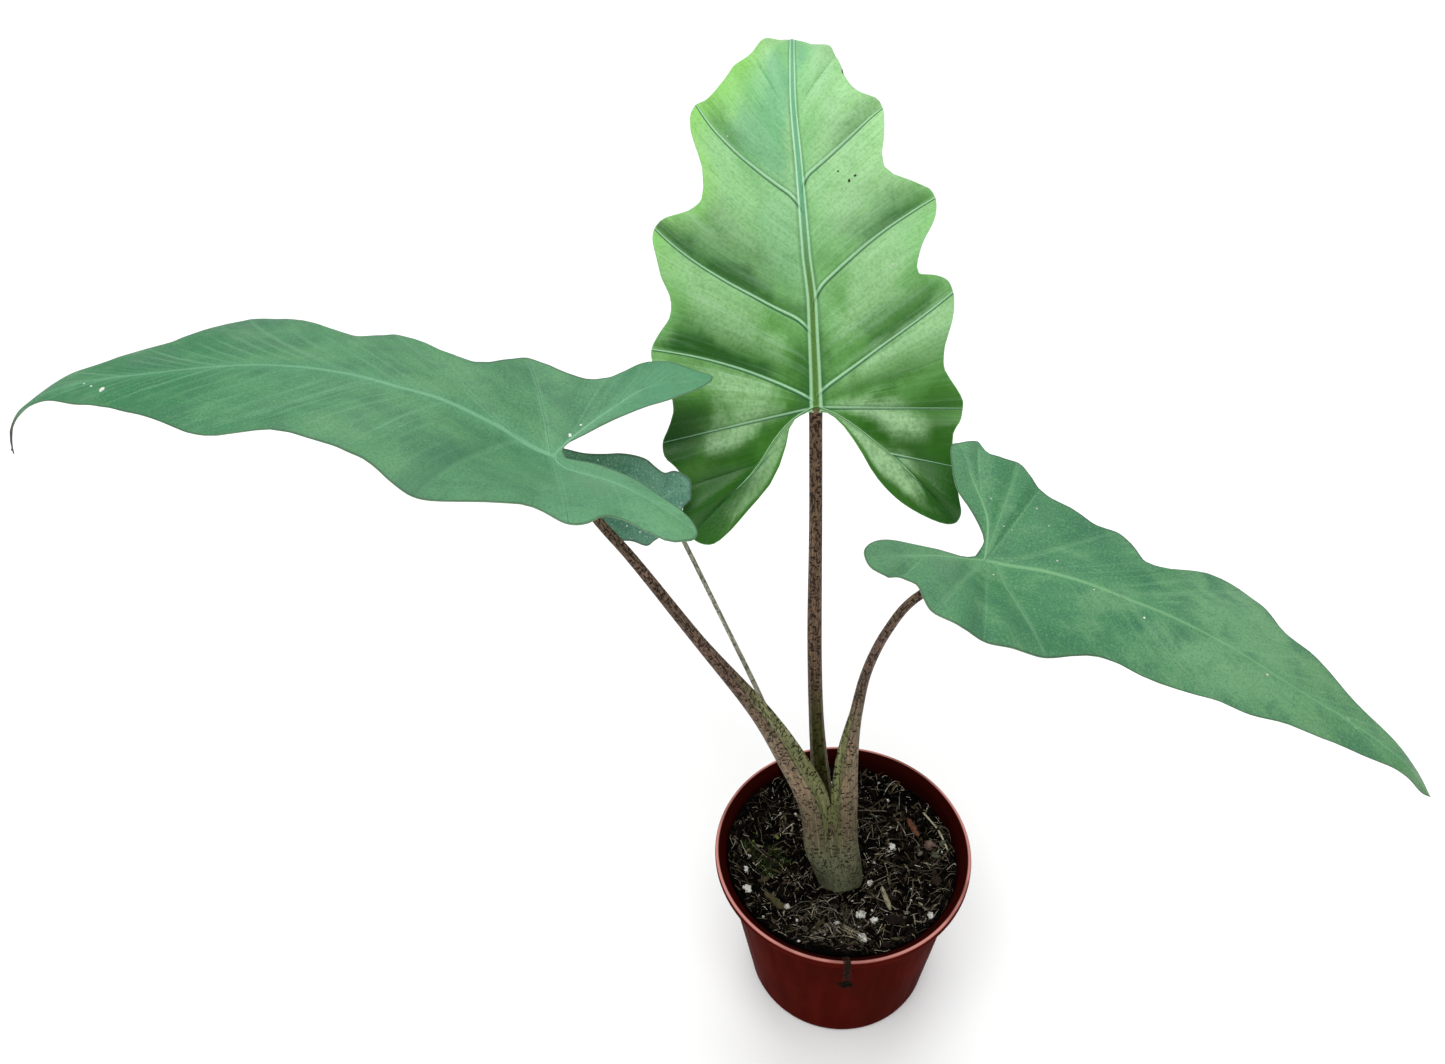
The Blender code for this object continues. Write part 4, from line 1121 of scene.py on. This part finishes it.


# Leaf colours (linear). Bands are the blade's colour at distances along it from the stalk joint. The
# middle of the midrib has the groove's colour, and without one the rib's. The young leaf's sheen colour is
# a painted sheen, and its dark colour is also laid on as painted shade. On every leaf the shade colour is
# a painted shadow beside the side veins and the midrib
LEAF_LOOKS = {
    "centre": dict(
        bands=((-50, (0.010, 0.088, 0.001)), (-20, (0.022, 0.12, 0.003)), (0, (0.06, 0.22, 0.025)),
               (25, (0.13, 0.36, 0.085)), (60, (0.21, 0.51, 0.17)), (100, (0.26, 0.60, 0.22)),
               (150, (0.24, 0.61, 0.24)), (206, (0.19, 0.56, 0.27))),
        dark=(0.016, 0.10, 0.008), edge=(0.27, 0.66, 0.12), inner=(0.15, 0.44, 0.26),
        painted_sheen=(0.44, 0.72, 0.38), rib=(0.34, 0.62, 0.34), groove=(0.085, 0.20, 0.03),
        vein=(0.44, 0.76, 0.48), shade=(0.012, 0.11, 0.03), gloss=0.36, shine=0.28, coat=0.06),
    "left": dict(
        bands=((-50, (0.125, 0.32, 0.145)), (-22, (0.08, 0.25, 0.12)), (40, (0.10, 0.28, 0.125)),
               (90, (0.075, 0.25, 0.11)), (125, (0.032, 0.19, 0.073)), (180, (0.03, 0.19, 0.066)),
               (188, (0.05, 0.12, 0.055)), (207, (0.085, 0.078, 0.065))),
        dark=(0.045, 0.165, 0.085), edge=(0.08, 0.24, 0.11), inner=(0.10, 0.32, 0.17),
        pale=(0.15, 0.35, 0.16), rib=(0.19, 0.44, 0.25), vein=(0.16, 0.39, 0.21),
        shade=(0.05, 0.18, 0.09), gloss=0.5, shine=0.3, coat=0),
    "right": dict(
        bands=((-40, (0.085, 0.25, 0.115)), (0, (0.055, 0.215, 0.085)), (45, (0.058, 0.215, 0.092)),
               (85, (0.15, 0.35, 0.165)), (120, (0.125, 0.30, 0.13)), (150, (0.095, 0.255, 0.10)),
               (172, (0.10, 0.17, 0.05))),
        dark=(0.035, 0.15, 0.08), edge=(0.08, 0.22, 0.10), inner=(0.10, 0.30, 0.13),
        pale=(0.19, 0.38, 0.19), rib=(0.19, 0.41, 0.20), vein=(0.16, 0.37, 0.18),
        shade=(0.04, 0.15, 0.075), gloss=0.5, shine=0.3, coat=0),
    "back": dict(
        bands=((-12, (0.075, 0.23, 0.16)), (30, (0.07, 0.24, 0.13)), (70, (0.05, 0.18, 0.08))),
        dark=(0.035, 0.14, 0.09), edge=(0.22, 0.44, 0.30), inner=(0.08, 0.25, 0.15),
        pale=(0.20, 0.40, 0.27), rib=(0.18, 0.38, 0.26), vein=(0.16, 0.36, 0.25),
        shade=(0.05, 0.17, 0.10), gloss=0.42, shine=0.4, coat=0),
}
OLD_SPOTS = (0.50, 0.62, 0.52)
FAR_LOBE_GREEN = (0.065, 0.26, 0.13)
DARK_MARGIN = (0.05, 0.085, 0.055)
YOUNG_RIB_END, YOUNG_RIB_LINE = (0.12, 0.40, 0.20), (0.44, 0.74, 0.48)
NICK = (0.03, 0.05, 0.012)

# Dabs of tone on the young leaf: side (+1 the photo's left, -1 its right, 0 both), the lanes and the
# reaches it spans, its strength and its colour. Lanes count the side veins from the tip, reach goes from
# the midrib to the margin. The sheen dabs are painted sheen, pale reflections of light on the glossy
# blade. The dark dabs are painted shade in the hollows just tipward of the side veins, in the dip beside
# the midrib at the joint, and where the lobes' margins turn down
DABS = (
    (0, (-0.3, 2.0), (0.6, 1.2), 0.4, "painted_sheen"), (1, (1.3, 3.1), (-0.2, 0.14), 0.6, "painted_sheen"),
    (1, (1.5, 2.95), (0.1, 0.6), 0.5, "inner"), (1, (3.1, 3.75), (0.0, 0.4), 0.35, "inner"),
    (1, (3.55, 3.96), (0.3, 0.95), 0.5, "dark"), (-1, (2.72, 2.97), (0.45, 1.0), 0.4, "dark"),
    (-1, (3.7, 3.97), (0.45, 1.0), 0.45, "dark"), (-1, (4.7, 4.96), (0.45, 1.0), 0.45, "dark"),
    (1, (4.6, 4.96), (0.3, 1.0), 0.45, "dark"), (1, (2.7, 2.97), (0.5, 0.95), 0.3, "dark"),
    (-1, (0.9, 1.5), (0.1, 0.4), 0.5, "inner"),
    (-1, (1.5, 3.8), (0.4, 1.2), 0.5, "painted_sheen"), (-1, (1.9, 3.6), (0.15, 0.5), 0.35, "painted_sheen"),
    (1, (3.05, 3.8), (-0.2, 0.9), 0.35, "painted_sheen"), (0, (4.0, 4.75), (0.3, 0.85), 0.45, "painted_sheen"),
    (1, (3.88, 3.99), (0.1, 1.2), 0.8, "dark"), (-1, (3.88, 3.99), (0.55, 0.9), 0.55, "dark"),
    (1, (4.82, 4.99), (0.3, 1.0), 0.95, "dark"), (-1, (4.88, 4.99), (0.4, 0.95), 0.55, "dark"),
    (0, (4.35, 6.0), (-0.2, 0.14), 0.55, "dark"), (-1, (5.38, 5.55), (0.2, 1.2), 0.35, "dark"),
    (-1, (5.02, 5.32), (0.3, 1.2), 0.6, "painted_sheen"), (-1, (5.72, 6.7), (0.2, 0.6), 0.7, "painted_sheen"),
    (1, (5.1, 6.6), (0.3, 0.66), 0.6, "painted_sheen"), (1, (5.6, 6.6), (0.76, 1.2), 0.9, "dark"),
    (-1, (5.72, 6.95), (0.74, 1.2), 0.3, "dark"), (-1, (6.9, 7.35), (-0.2, 0.3), 0.5, "painted_sheen"),
    (0, (6.95, 8.2), (0.45, 1.2), 0.75, "dark"),
    (1, (8.3, 8.95), (-0.2, 0.8), 0.45, "painted_sheen"), (-1, (8.22, 8.95), (-0.2, 0.7), 0.7, "painted_sheen"),
)
DAB_SOFT, NARROW_DAB_SOFT, CRISP_DAB_SOFT = 0.16, 0.07, 0.03
REACH_SOFT = 0.13


def young_tones(p, look, soft, patch, streak, grain):
    """Bright margin of the young leaf, and its dabs of painted sheen and painted shade."""
    p.over(look["edge"], (p.edge, 16, 1), (p.along, 20, 110, 0.1, 0.9), (p.half, -1, 1, 0.4, 1))
    mottle = p.add(p.times(patch, 0.35), p.times(streak, 0.3), p.times(grain, 0.35))
    grainy = p.between(mottle, 0.36, 0.6, 0.55, 1)
    reach = p.add(p.reach, p.between(soft, 0.3, 0.7, -0.1, 0.1))
    ragged = p.between(p.add(p.times(soft, 0.7), p.times(streak, 0.3)), 0.3, 0.7, -0.1, 0.1)
    lane = p.add(p.lane, ragged)
    # Each dab lays painted sheen or painted shade over the colour so far
    for side, (start, end), (inner, outer), strength, tone in DABS:
        first = DAB_SOFT if end - start > 0.3 else NARROW_DAB_SOFT
        last = CRISP_DAB_SOFT if tone == "dark" and end % 1 > 0.9 else first
        shares = [(lane, start - first, start + first), (p.lane, end + last, end - last),
                  (reach, inner - REACH_SOFT, inner + REACH_SOFT),
                  (reach, outer + REACH_SOFT, outer - REACH_SOFT)]
        if side:
            shares.append((p.half, -0.5 * side, 0.5 * side))
        if tone == "painted_sheen":
            shares.append(grainy)
        p.over(look[tone], *shares, strength)


def mature_tones(p, key, look):
    """Clouds, salt and paler lobes of the older leaves, and a band of painted shadow on the left leaf."""
    cloud = p.flat_noise((0.035, 0.06, 0), 5, 0.62)
    salt = p.flat_noise(1.3, 2, 0.6)
    p.over(look["dark"], (cloud, 0.52, 0.36, 0, 0.65))
    p.over(look["pale"], (cloud, 0.5, 0.66, 0, 0.45))
    p.over(look["edge"], (p.edge, 5, 0.5, 0, 0.25))
    p.over(look["inner"], (p.rib, 9, 1.5, 0, 0.4))
    p.over(look["vein"], (p.along, 1, -8), (p.rib, 22, 3), 0.45)
    p.over(look["vein"], (p.vein, 9, 0.8, 0, 0.45))
    p.over(look["pale"], (salt, 0.5, 0.66, 0, 0.42))
    p.over(look["dark"], (salt, 0.5, 0.34, 0, 0.42))
    if key == "back":
        p.over(OLD_SPOTS, (salt, 0.62, 0.72, 0, 0.7))
    if key == "left":
        p.over(FAR_LOBE_GREEN, (p.half, 0.5, -0.5), (p.along, -4, -26), 0.6)
        # Painted shadow in the crease just tipward of the lowest side vein
        p.over(look["dark"], (p.half, -0.5, 0.5), (p.lane, 4.6, 4.85),
               (p.lane, 5.05, 4.97), (p.reach, 0.2, 0.5), 0.6)


def young_rib(p, band):
    """Broad midrib of the young leaf, with a bright line on each side, and the nick in its margin."""
    band = p.mix(p.between(p.along, 40, 85), band, YOUNG_RIB_END)
    line = p.times((p.rib, 0.5, 0.66), (p.rib, 1.1, 0.9))
    band = p.mix(p.times(line, (p.along, 30, 80)), band, YOUNG_RIB_LINE)
    p.over(band, (p.rib, 1.15, 0.9, 0, 0.95))
    p.over(LEAF_LOOKS["centre"]["rib"], (p.edge, 0.45, 0.1, 0, 0.4))
    p.over(NICK, (p.edge, 1.5, 0.7), (p.along, 126, 127.5),
           (p.along, 131.5, 130), (p.half, 0.5, -0.5))


def leaf_paint(key, look):
    """Upper face of a blade: bands along it, mottling, fine strands between the veins, ribs and veins."""
    p = LeafPaint("leaf_" + key)
    young = key == "centre"
    soft = p.flat_noise((0.045, 0.06, 0), 3, 0.55)
    patch = p.flat_noise(0.14, 4, 0.6)
    grain = p.flat_noise(0.75, 3, 0.6)
    fine = p.flat_noise(2.2, 2, 0.6)
    streak = p.strand_noise((16, 1.2, 3), 3, 0.6)
    hair = p.strand_noise((70, 3.0, 3), 2, 0.5)

    first, last = look["bands"][0][0], look["bands"][-1][0]
    wander = p.add(p.along, p.between(soft, 0.3, 0.7, -14, 14))
    share = p.math("DIVIDE", p.math("SUBTRACT", wander, first), last - first, clamp=True)
    p.colour = p.ramp(share, [((u - first) / (last - first), c) for u, c in look["bands"]])
    if young:
        young_tones(p, look, soft, patch, streak, grain)
    else:
        mature_tones(p, key, look)
    p.over(look["dark"], (patch, 0.52, 0.3, 0, 0.1 if young else 0.35))

    if young:
        open_share = p.between(p.along, -15, 20, 0.15, 1)
    else:
        away = p.math("SQRT", p.add(p.times(p.along, p.along), p.times(p.across, p.across)))
        open_share = p.between(away, 14, 60)
        fringe = p.add(p.math("PINGPONG", p.times(p.lane, 6), 0.5), p.between(streak, 0.3, 0.7, -0.12, 0.12))
        p.over(look["vein"], (fringe, 0.16, 0.02), (p.reach, 0.02, 0.25),
               (p.reach, 0.95, 0.5), 0.35, open_share)
    p.over(look["vein"], (streak, 0.45, 0.75, 0, 0.2), open_share)
    p.over(look["dark"], (hair, 0.6, 0.35, 0, 0.14), open_share)
    p.over(look["dark"], (grain, 0.55, 0.3, 0, 0.2))

    # Painted shadow: a dark line on the base side of each side vein, and one on each side of the midrib
    below = p.between(p.math("FRACT", p.lane), 0.6, 0.4, 0.3, 0.9)
    p.over(look["shade"], (p.vein, 3.2, 1.8), (p.vein, 0.9, 1.4), below,
           1.0 if young else 0.12)
    p.over(look["vein"], (p.vein, 1.4, 0.4, 0, 0.8 if young else 0.6))
    p.over(look["shade"], (p.rib, 2.0, 1.2), (p.rib, 0.95, 1.2), 0.45 if young else 0.15)
    band = p.mix(p.between(p.rib, 0.35, 0.7), look.get("groove", look["rib"]), look["rib"])
    if young:
        young_rib(p, band)
    else:
        p.over(DARK_MARGIN, (p.edge, 1.0, 0.2, 0, 0.65))
        p.over(band, (p.rib, 1.9, 0.4), (p.along, 120, 20, 0.45, 0.8))

    p.shader.inputs["Coat Weight"].default_value = look["coat"]
    p.shader.inputs["Coat Roughness"].default_value = 0.3
    p.bump(p.add(p.times(streak, 0.5), p.times(hair, 0.15), p.times(fine, 0.45), p.times(grain, 0.9),
                 p.between(p.vein, 1.6, 0.2, 0, 0.7)), 0.22)
    roughness = p.add(look["gloss"], p.between(patch, 0.3, 0.7, -0.05, 0.07),
                      p.between(fine, 0.3, 0.7, -0.05, 0.05))
    return p.finish(roughness, look["shine"])


def underside_paint(name, look):
    """Lower face of a blade: paler, matt, with light ribs."""
    p = LeafPaint(name)
    soft = p.flat_noise((0.07, 0.09, 0), 3, 0.55)
    streak = p.strand_noise((50, 2.0, 3), 2, 0.6)
    net = p.cells(p.scaled(p.flat, (0.5, 0.5, 0)), "DISTANCE_TO_EDGE")
    pale = tuple(0.5 * a + 0.5 * b for a, b in zip(look["edge"], (0.24, 0.36, 0.20)))
    p.colour = p.mix(p.between(soft, 0.35, 0.65), pale, tuple(0.75 * a for a in pale))
    p.over((0.26, 0.42, 0.24), (streak, 0.35, 0.7, 0, 0.3))
    p.over((0.30, 0.45, 0.27), (net, 0.1, 0.0, 0, 0.25))
    p.over((0.24, 0.44, 0.25), (p.vein, 1.3, 0.6, 0, 0.7))
    p.over((0.26, 0.46, 0.27), (p.rib, 1.4, 0.9, 0, 0.8))
    end, tone = look["bands"][-1]
    p.over(tone, (p.along, end - 24, end - 10))
    p.bump(p.add(p.times(streak, 0.5), p.times(net, -0.5), p.between(p.vein, 1.8, 0.3, 0, 0.8)), 0.15)
    return p.finish(0.6)


# Stalk colours (linear), each a pair that a noise mixes
STALK_PALE = (0.42, 0.40, 0.31), (0.33, 0.33, 0.24)
STALK_BROWN = (0.175, 0.105, 0.075), (0.14, 0.095, 0.058)
STALK_SHEATH = (0.24, 0.165, 0.105), (0.18, 0.145, 0.08)
STALK_FOOT = (0.145, 0.165, 0.09), (0.20, 0.20, 0.12)
CHANNEL_GREEN = (0.18, 0.21, 0.075), (0.36, 0.37, 0.18)
CHANNEL_DARK = (0.03, 0.035, 0.004), (0.075, 0.075, 0.02)


def stalk_paint(name, kind):
    """Skin of a stalk: fine pale ribs, short dark cracks, and a green channel between darker lips."""
    p = Paint(name)
    skin = p.spot("skin", "Vector")
    angle, channel, _ = p.parts(p.spot("turn", "Vector"))
    _, _, height = p.parts(p.place())

    def skin_noise(scale, detail, roughness):
        return p.noise(p.scaled(skin, scale), detail, roughness)

    soft = skin_noise((0.25, 0.25, 0.05), 3, 0.55)
    ribs = skin_noise((2.0, 2.0, 0.03), 2, 0.6)
    grain = skin_noise((5.5, 5.5, 0.35), 2, 0.5)
    clouded = p.between(soft, 0.35, 0.65)
    if kind == "back":
        body = p.mix(clouded, *STALK_PALE)
        mark = (0.05, 0.04, 0.03)
    else:
        sheath = p.mix(p.between(height, 160, 125), p.mix(clouded, *STALK_SHEATH), (0.135, 0.105, 0.062))
        body = p.mix(p.between(height, 222, 182), p.mix(clouded, *STALK_BROWN), sheath)
        if kind == "centre":
            body = p.mix(p.between(height, 205, 165), (0.155, 0.098, 0.06), (0.10, 0.082, 0.032))
        foot = p.mix(p.between(soft, 0.3, 0.7), *STALK_FOOT)
        body = p.mix(p.between(height, 128, 96), body, foot)
        mark = (0.012, 0.005, 0.003)
    p.colour = body
    p.over(p.mix(1.0, body, (1.7, 1.75, 1.8), "MULTIPLY"), (ribs, 0.5, 0.62, 0, 0.8))
    p.over(p.mix(1.0, body, (0.45, 0.42, 0.4), "MULTIPLY"), (grain, 0.5, 0.3, 0, 0.45))
    deep = p.between(channel, 0.25, 1.1)
    green = p.mix(p.between(ribs, 0.4, 0.62), *(CHANNEL_DARK if kind == "centre" else CHANNEL_GREEN))
    p.over(green, deep, (angle, 0.75, 0.5), 0.9)
    p.over((0.05, 0.07, 0.018), deep, (angle, 0.56, 0.62), (angle, 0.76, 0.68), 0.55)

    wobble = p.scaled(skin_noise((0.9, 0.9, 0.5), 3, 0.6), 0.6)
    moved = p.node("VectorMath", {0: p.scaled(skin, (0.42, 0.42, 0.21)), 1: wobble}, operation="ADD")
    crack = p.cells(moved, "DISTANCE_TO_EDGE")
    broken = skin_noise((0.55, 0.55, 0.4), 2, 0.5)
    cracks = p.times((crack, 0.07, 0.035), (broken, 0.48, 0.53))
    dash = p.cells(p.scaled(skin, (0.34, 0.34, 0.62)), "F1")
    dashes = p.times((dash, 0.34, 0.26), (broken, 0.28, 0.36))
    dense = skin_noise((1.9, 1.9, 0.45), 2, 0.55)
    mottle = p.times((dense, 0.52, 0.58), (height, 160, 210, 0.05, 0.9))
    marks = p.math("MAXIMUM", p.math("MAXIMUM", cracks, dashes), mottle)
    marks = p.times(marks, (height, 78, 100, 0.4, 1.0))
    p.over(mark, marks, 0.7 if kind == "back" else 0.92)
    p.bump(p.add(ribs, p.times(grain, 0.4), p.times(marks, -0.4)), 0.25)
    return p.finish(0.5, 0.12)


def pot_paint():
    """Dark red plastic: streaks, dust, painted shade inside, and a rim top paled by painted reflection and
    dust.
    """
    p = Paint("pot_plastic")
    x, y, _ = p.parts(p.place())
    streak = p.noise(p.place((0.12, 0.12, 0.012)), 3, 0.6)
    cloud = p.noise(p.place(0.03), 3, 0.5)
    dust = p.noise(p.place(1.2), 2, 0.7)
    p.colour = p.mix(p.between(streak, 0.3, 0.7), (0.085, 0.0065, 0.0035), (0.06, 0.0045, 0.0025))
    p.over((0.045, 0.006, 0.0035), (cloud, 0.4, 0.65, 0, 0.5))
    p.over((0.16, 0.055, 0.04), (dust, 0.66, 0.8, 0, 0.3))
    across = p.math("SQRT", p.add(p.times(x, x), p.times(y, y)))
    facing = p.tree.nodes.new("ShaderNodeNewGeometry")
    side_x, side_y, up = p.parts(facing.outputs["Normal"])
    outward = p.math("DIVIDE", p.add(p.times(side_x, x), p.times(side_y, y)), p.math("MAXIMUM", across, 1))
    # Painted shade: faces that turn inwards, inside the wall, are darker
    p.over((0.022, 0.0022, 0.0015), (outward, 0.0, -0.3))
    # Painted reflection with some dust: the upward face of the rim top is paler pink
    p.over((0.60, 0.25, 0.22), (up, 0.35, 0.8),
           (across, RIM_RADIUS - 1.7, RIM_RADIUS - 1.1), (cloud, 0.34, 0.5, 0.5, 1))
    p.bump(p.add(p.times(streak, 0.5), p.times(dust, 0.1)), 0.15)
    return p.finish(p.between(streak, 0.3, 0.7, 0.3, 0.4), 0.0006)


def peat_paint():
    """Matt black soil with an uneven tone, by piece and by place."""
    p = Paint("soil_peat")
    spread = p.noise(p.place(0.5), 4, 0.65)
    fine = p.noise(p.place(2.6), 3, 0.7)
    share = p.add(p.times(spread, 0.5), p.times(fine, 0.25), p.times(p.spot("tint"), 0.25))
    p.colour = p.mix(p.between(share, 0.35, 0.7), (0.0002, 0.00015, 0.0001), (0.007, 0.005, 0.0035))
    p.bump(p.add(spread, fine), 0.35)
    return p.finish(0.95, 0.05)


def tinted_paint(name, stops, roughness=0.8, grain=0.2, hollows=(0.35, 0.33, 0.3)):
    """Finish whose colour goes with each piece's own tint."""
    p = Paint(name)
    fine = p.noise(p.place(1.8), 3, 0.65)
    shade = p.noise(p.place(0.5), 2, 0.5)
    base = p.ramp(p.spot("tint"), stops)
    p.colour = p.mix(1.0, base, hollows, "MULTIPLY")
    p.over(base, (p.add(p.times(fine, 0.6), p.times(shade, 0.4)), 0.35, 0.6))
    p.bump(fine, grain)
    return p.finish(roughness, 0.08)

# Specks of dust and perlite on the blades: distance along and across, half size, tint
SPECKS = {
    "left": ((145.5, 6.5, 1.1, 1), (152, 3, 0.35, 1), (156, 1, 0.3, 1), (-5.2, -15, 0.35, 1),
             (-2.8, -10.4, 0.7, 1)),
    "right": ((25.6, 7.2, 0.3, 0.9), (38.1, -1.1, 0.25, 0.8), (7.8, -7.8, 0.3, 0.8), (5.6, 16, 0.25, 0.8),
              (-0.7, 24.5, 0.3, 0.7), (13.7, 27.8, 0.3, 0.7), (55.1, -4.4, 0.35, 1),
              (98.8, -0.9, 0.4, 0.7), (8.6, 16, 0.2, 0.8), (20.2, 21.1, 0.25, 0.8)),
    "centre": ((48.9, -27.9, 0.4, 0.8), (100.4, 27.1, 0.35, 0.8), (81.3, -17.4, 0.45, 0),
               (84.6, -11.7, 0.35, 0), (79.8, -15.2, 0.5, 0)),
    "back": ((6.8, 10.6, 0.3, 1), (6.7, 16, 0.3, 1), (2.2, 11.2, 0.25, 1), (23.4, -7.7, 0.25, 1)),
}
SPECK_SEARCH = 12             # how far above and below the plain blade its surface is looked for


def leaf_specks(key, blade, place, material):
    """Specks that sit on the finished surface of a blade."""
    heap = Heap(len(key) * 7)
    for u, v, size, tint in SPECKS[key]:
        point = place(u, v)
        normal = unit(np.cross(place(u + 0.4, v) - point, place(u, v + 0.4) - point))
        normal = normal * math.copysign(1, normal[2])
        turn = Vector((0, 0, 1)).rotation_difference(Vector(normal)).to_matrix()
        above = Vector(point + normal * SPECK_SEARCH) * MM
        found, surface, _, _ = blade.ray_cast(above, Vector(-normal), distance=2 * SPECK_SEARCH * MM)
        seat = np.array(surface) / MM if found else point
        heap.lump(seat + normal * 0.1, size, 2, 0.5, 0.45, tint, turn)
    return heap.finish("leaf_specks_" + key, material)


def add_soft_light(name, source, spread, strength):
    """Light from far away over a wide disc of the given angle, as from a large softbox."""
    light = bpy.data.lights.new(name, "SUN")
    light.angle = math.radians(spread)
    light.energy = strength
    obj = bpy.data.objects.new(name, light)
    bpy.context.scene.collection.objects.link(obj)
    obj.location = source
    obj.rotation_euler = (-obj.location).to_track_quat("-Z", "Y").to_euler()


def add_camera():
    """The photo's camera."""
    pitch, roll = math.radians(CAMERA_PITCH), math.radians(CAMERA_ROLL)
    ahead = Vector((0, math.cos(pitch), -math.sin(pitch)))
    level = Vector((1, 0, 0))
    upright = level.cross(ahead)
    right = level * math.cos(roll) + upright * math.sin(roll)
    up = upright * math.cos(roll) - level * math.sin(roll)
    data = bpy.data.cameras.new("camera")
    data.lens = CAMERA_LENS
    data.sensor_width = 36
    data.sensor_fit = "HORIZONTAL"
    data.clip_start = 0.01
    obj = bpy.data.objects.new("camera", data)
    bpy.context.scene.collection.objects.link(obj)
    turn = Matrix((right, up, -ahead)).transposed().to_4x4()
    obj.matrix_world = Matrix.Translation(Vector(CAMERA_PLACE) * MM) @ turn
    bpy.context.scene.camera = obj


def add_studio():
    """White floor and room, and two softboxes."""
    bm = bmesh.new()
    bmesh.ops.create_grid(bm, x_segments=2, y_segments=2, size=6)
    p = Paint("studio_floor")
    p.colour = (0.86, 0.86, 0.86)
    p.shader.inputs["Emission Color"].default_value = (1, 1, 1, 1)
    p.shader.inputs["Emission Strength"].default_value = 0.12
    floor = new_object("studio_floor", bm, p.finish(0.7))
    world = bpy.data.worlds.new("studio")
    bpy.context.scene.world = world
    world.use_nodes = True
    back = world.node_tree.nodes["Background"]
    back.inputs["Color"].default_value = (1, 1, 1, 1)
    back.inputs["Strength"].default_value = 0.3
    add_soft_light("softbox_front", (-0.1, -0.3, 0.95), 40, 1.9)
    add_soft_light("softbox_back", (0.05, 0.5, 0.9), 45, 1.4)
    bpy.context.scene.view_settings.view_transform = "Standard"
    bpy.context.scene.view_settings.look = "None"


# Colours (linear) of the small pieces, by tint
SPECK_TONES = ((0, (0.05, 0.04, 0.03)), (0.5, (0.35, 0.33, 0.25)), (1, (0.86, 0.90, 0.86)))
FIBRE_TONES = ((0.0, (0.006, 0.004, 0.003)), (0.4, (0.03, 0.022, 0.015)), (0.68, (0.15, 0.12, 0.08)),
               (0.86, (0.40, 0.35, 0.26)), (1.0, (0.75, 0.71, 0.58)))
BARK_TONES = ((0.0, (0.008, 0.005, 0.005)), (0.35, (0.03, 0.02, 0.013)), (0.55, (0.075, 0.065, 0.03)),
              (0.75, (0.07, 0.045, 0.03)), (1.0, (0.15, 0.055, 0.03)))
PERLITE_TONES = ((0, (0.62, 0.62, 0.56)), (1, (0.82, 0.82, 0.78)))
CHIP_TONES = ((0, (0.16, 0.12, 0.07)), (0.6, (0.28, 0.25, 0.17)), (1, (0.46, 0.43, 0.30)))
MOSS_TONES = ((0, (0.02, 0.045, 0.008)), (0.8, (0.07, 0.13, 0.02)), (1, (0.16, 0.22, 0.05)))
STONE_TONES = ((0, (0.07, 0.09, 0.06)), (0.5, (0.13, 0.12, 0.09)), (1, (0.17, 0.11, 0.085)))
ROOT_TONES = ((0, (0.012, 0.007, 0.005)), (1, (0.05, 0.022, 0.014)))
LEAF_SLOTS = {"centre": "leaf_young", "left": "leaf_mature", "right": "leaf_mature", "back": "leaf_old"}


def build_leaves():
    """Blades, stalks, specks and stem base."""
    stalk = stalk_paint("stalk_skin", "side")
    skins = {"centre": stalk_paint("stalk_skin_young", "centre"),
             "back": stalk_paint("stalk_skin_pale", "back")}
    speck = tinted_paint("leaf_speck", SPECK_TONES, hollows=(0.85, 0.9, 0.85))
    for key, spec in BLADES.items():
        slot, look = LEAF_SLOTS[key], LEAF_LOOKS[key]
        under = underside_paint("leaf_under_" + key, look)
        blade, place = make_blade(key, spec, leaf_paint(key, look), under)
        settle(blade, slot, "blade_" + key)
        piece = make_stalk(key, STALKS[key], place, spec["joint_at"], skins.get(key, stalk))
        settle(piece, "stalk_pale" if key == "back" else "stalk", "petiole_" + key)
        settle(leaf_specks(key, blade, place, speck), slot)
    settle(make_stem_base(stalk), "stalk", "stem_base")


def build_pot():
    """Pot, soil and everything that lies on them."""
    settle(make_pot(pot_paint()), "pot_plastic", "pot")
    peat = peat_paint()
    settle(make_soil(peat), "soil", "soil")
    settle(soil_crumbs(peat), "soil")
    fibre = tinted_paint("soil_fibre", FIBRE_TONES)
    settle(soil_fibres(fibre), "soil")
    settle(soil_twigs(fibre), "soil")
    settle(soil_bark(tinted_paint("soil_bark", BARK_TONES, grain=0.4)), "soil")
    settle(soil_perlite(tinted_paint("soil_perlite", PERLITE_TONES, 0.9, 0.5)), "soil")
    settle(soil_pale_chips(tinted_paint("soil_chips", CHIP_TONES)), "soil")
    settle(soil_moss(tinted_paint("soil_moss", MOSS_TONES)), "soil")
    settle(soil_stones(tinted_paint("soil_stones", STONE_TONES)), "soil")
    settle(rim_roots(tinted_paint("rim_root", ROOT_TONES)), "soil")


build_leaves()
build_pot()
add_studio()
add_camera()

bpy.context.view_layer.update()
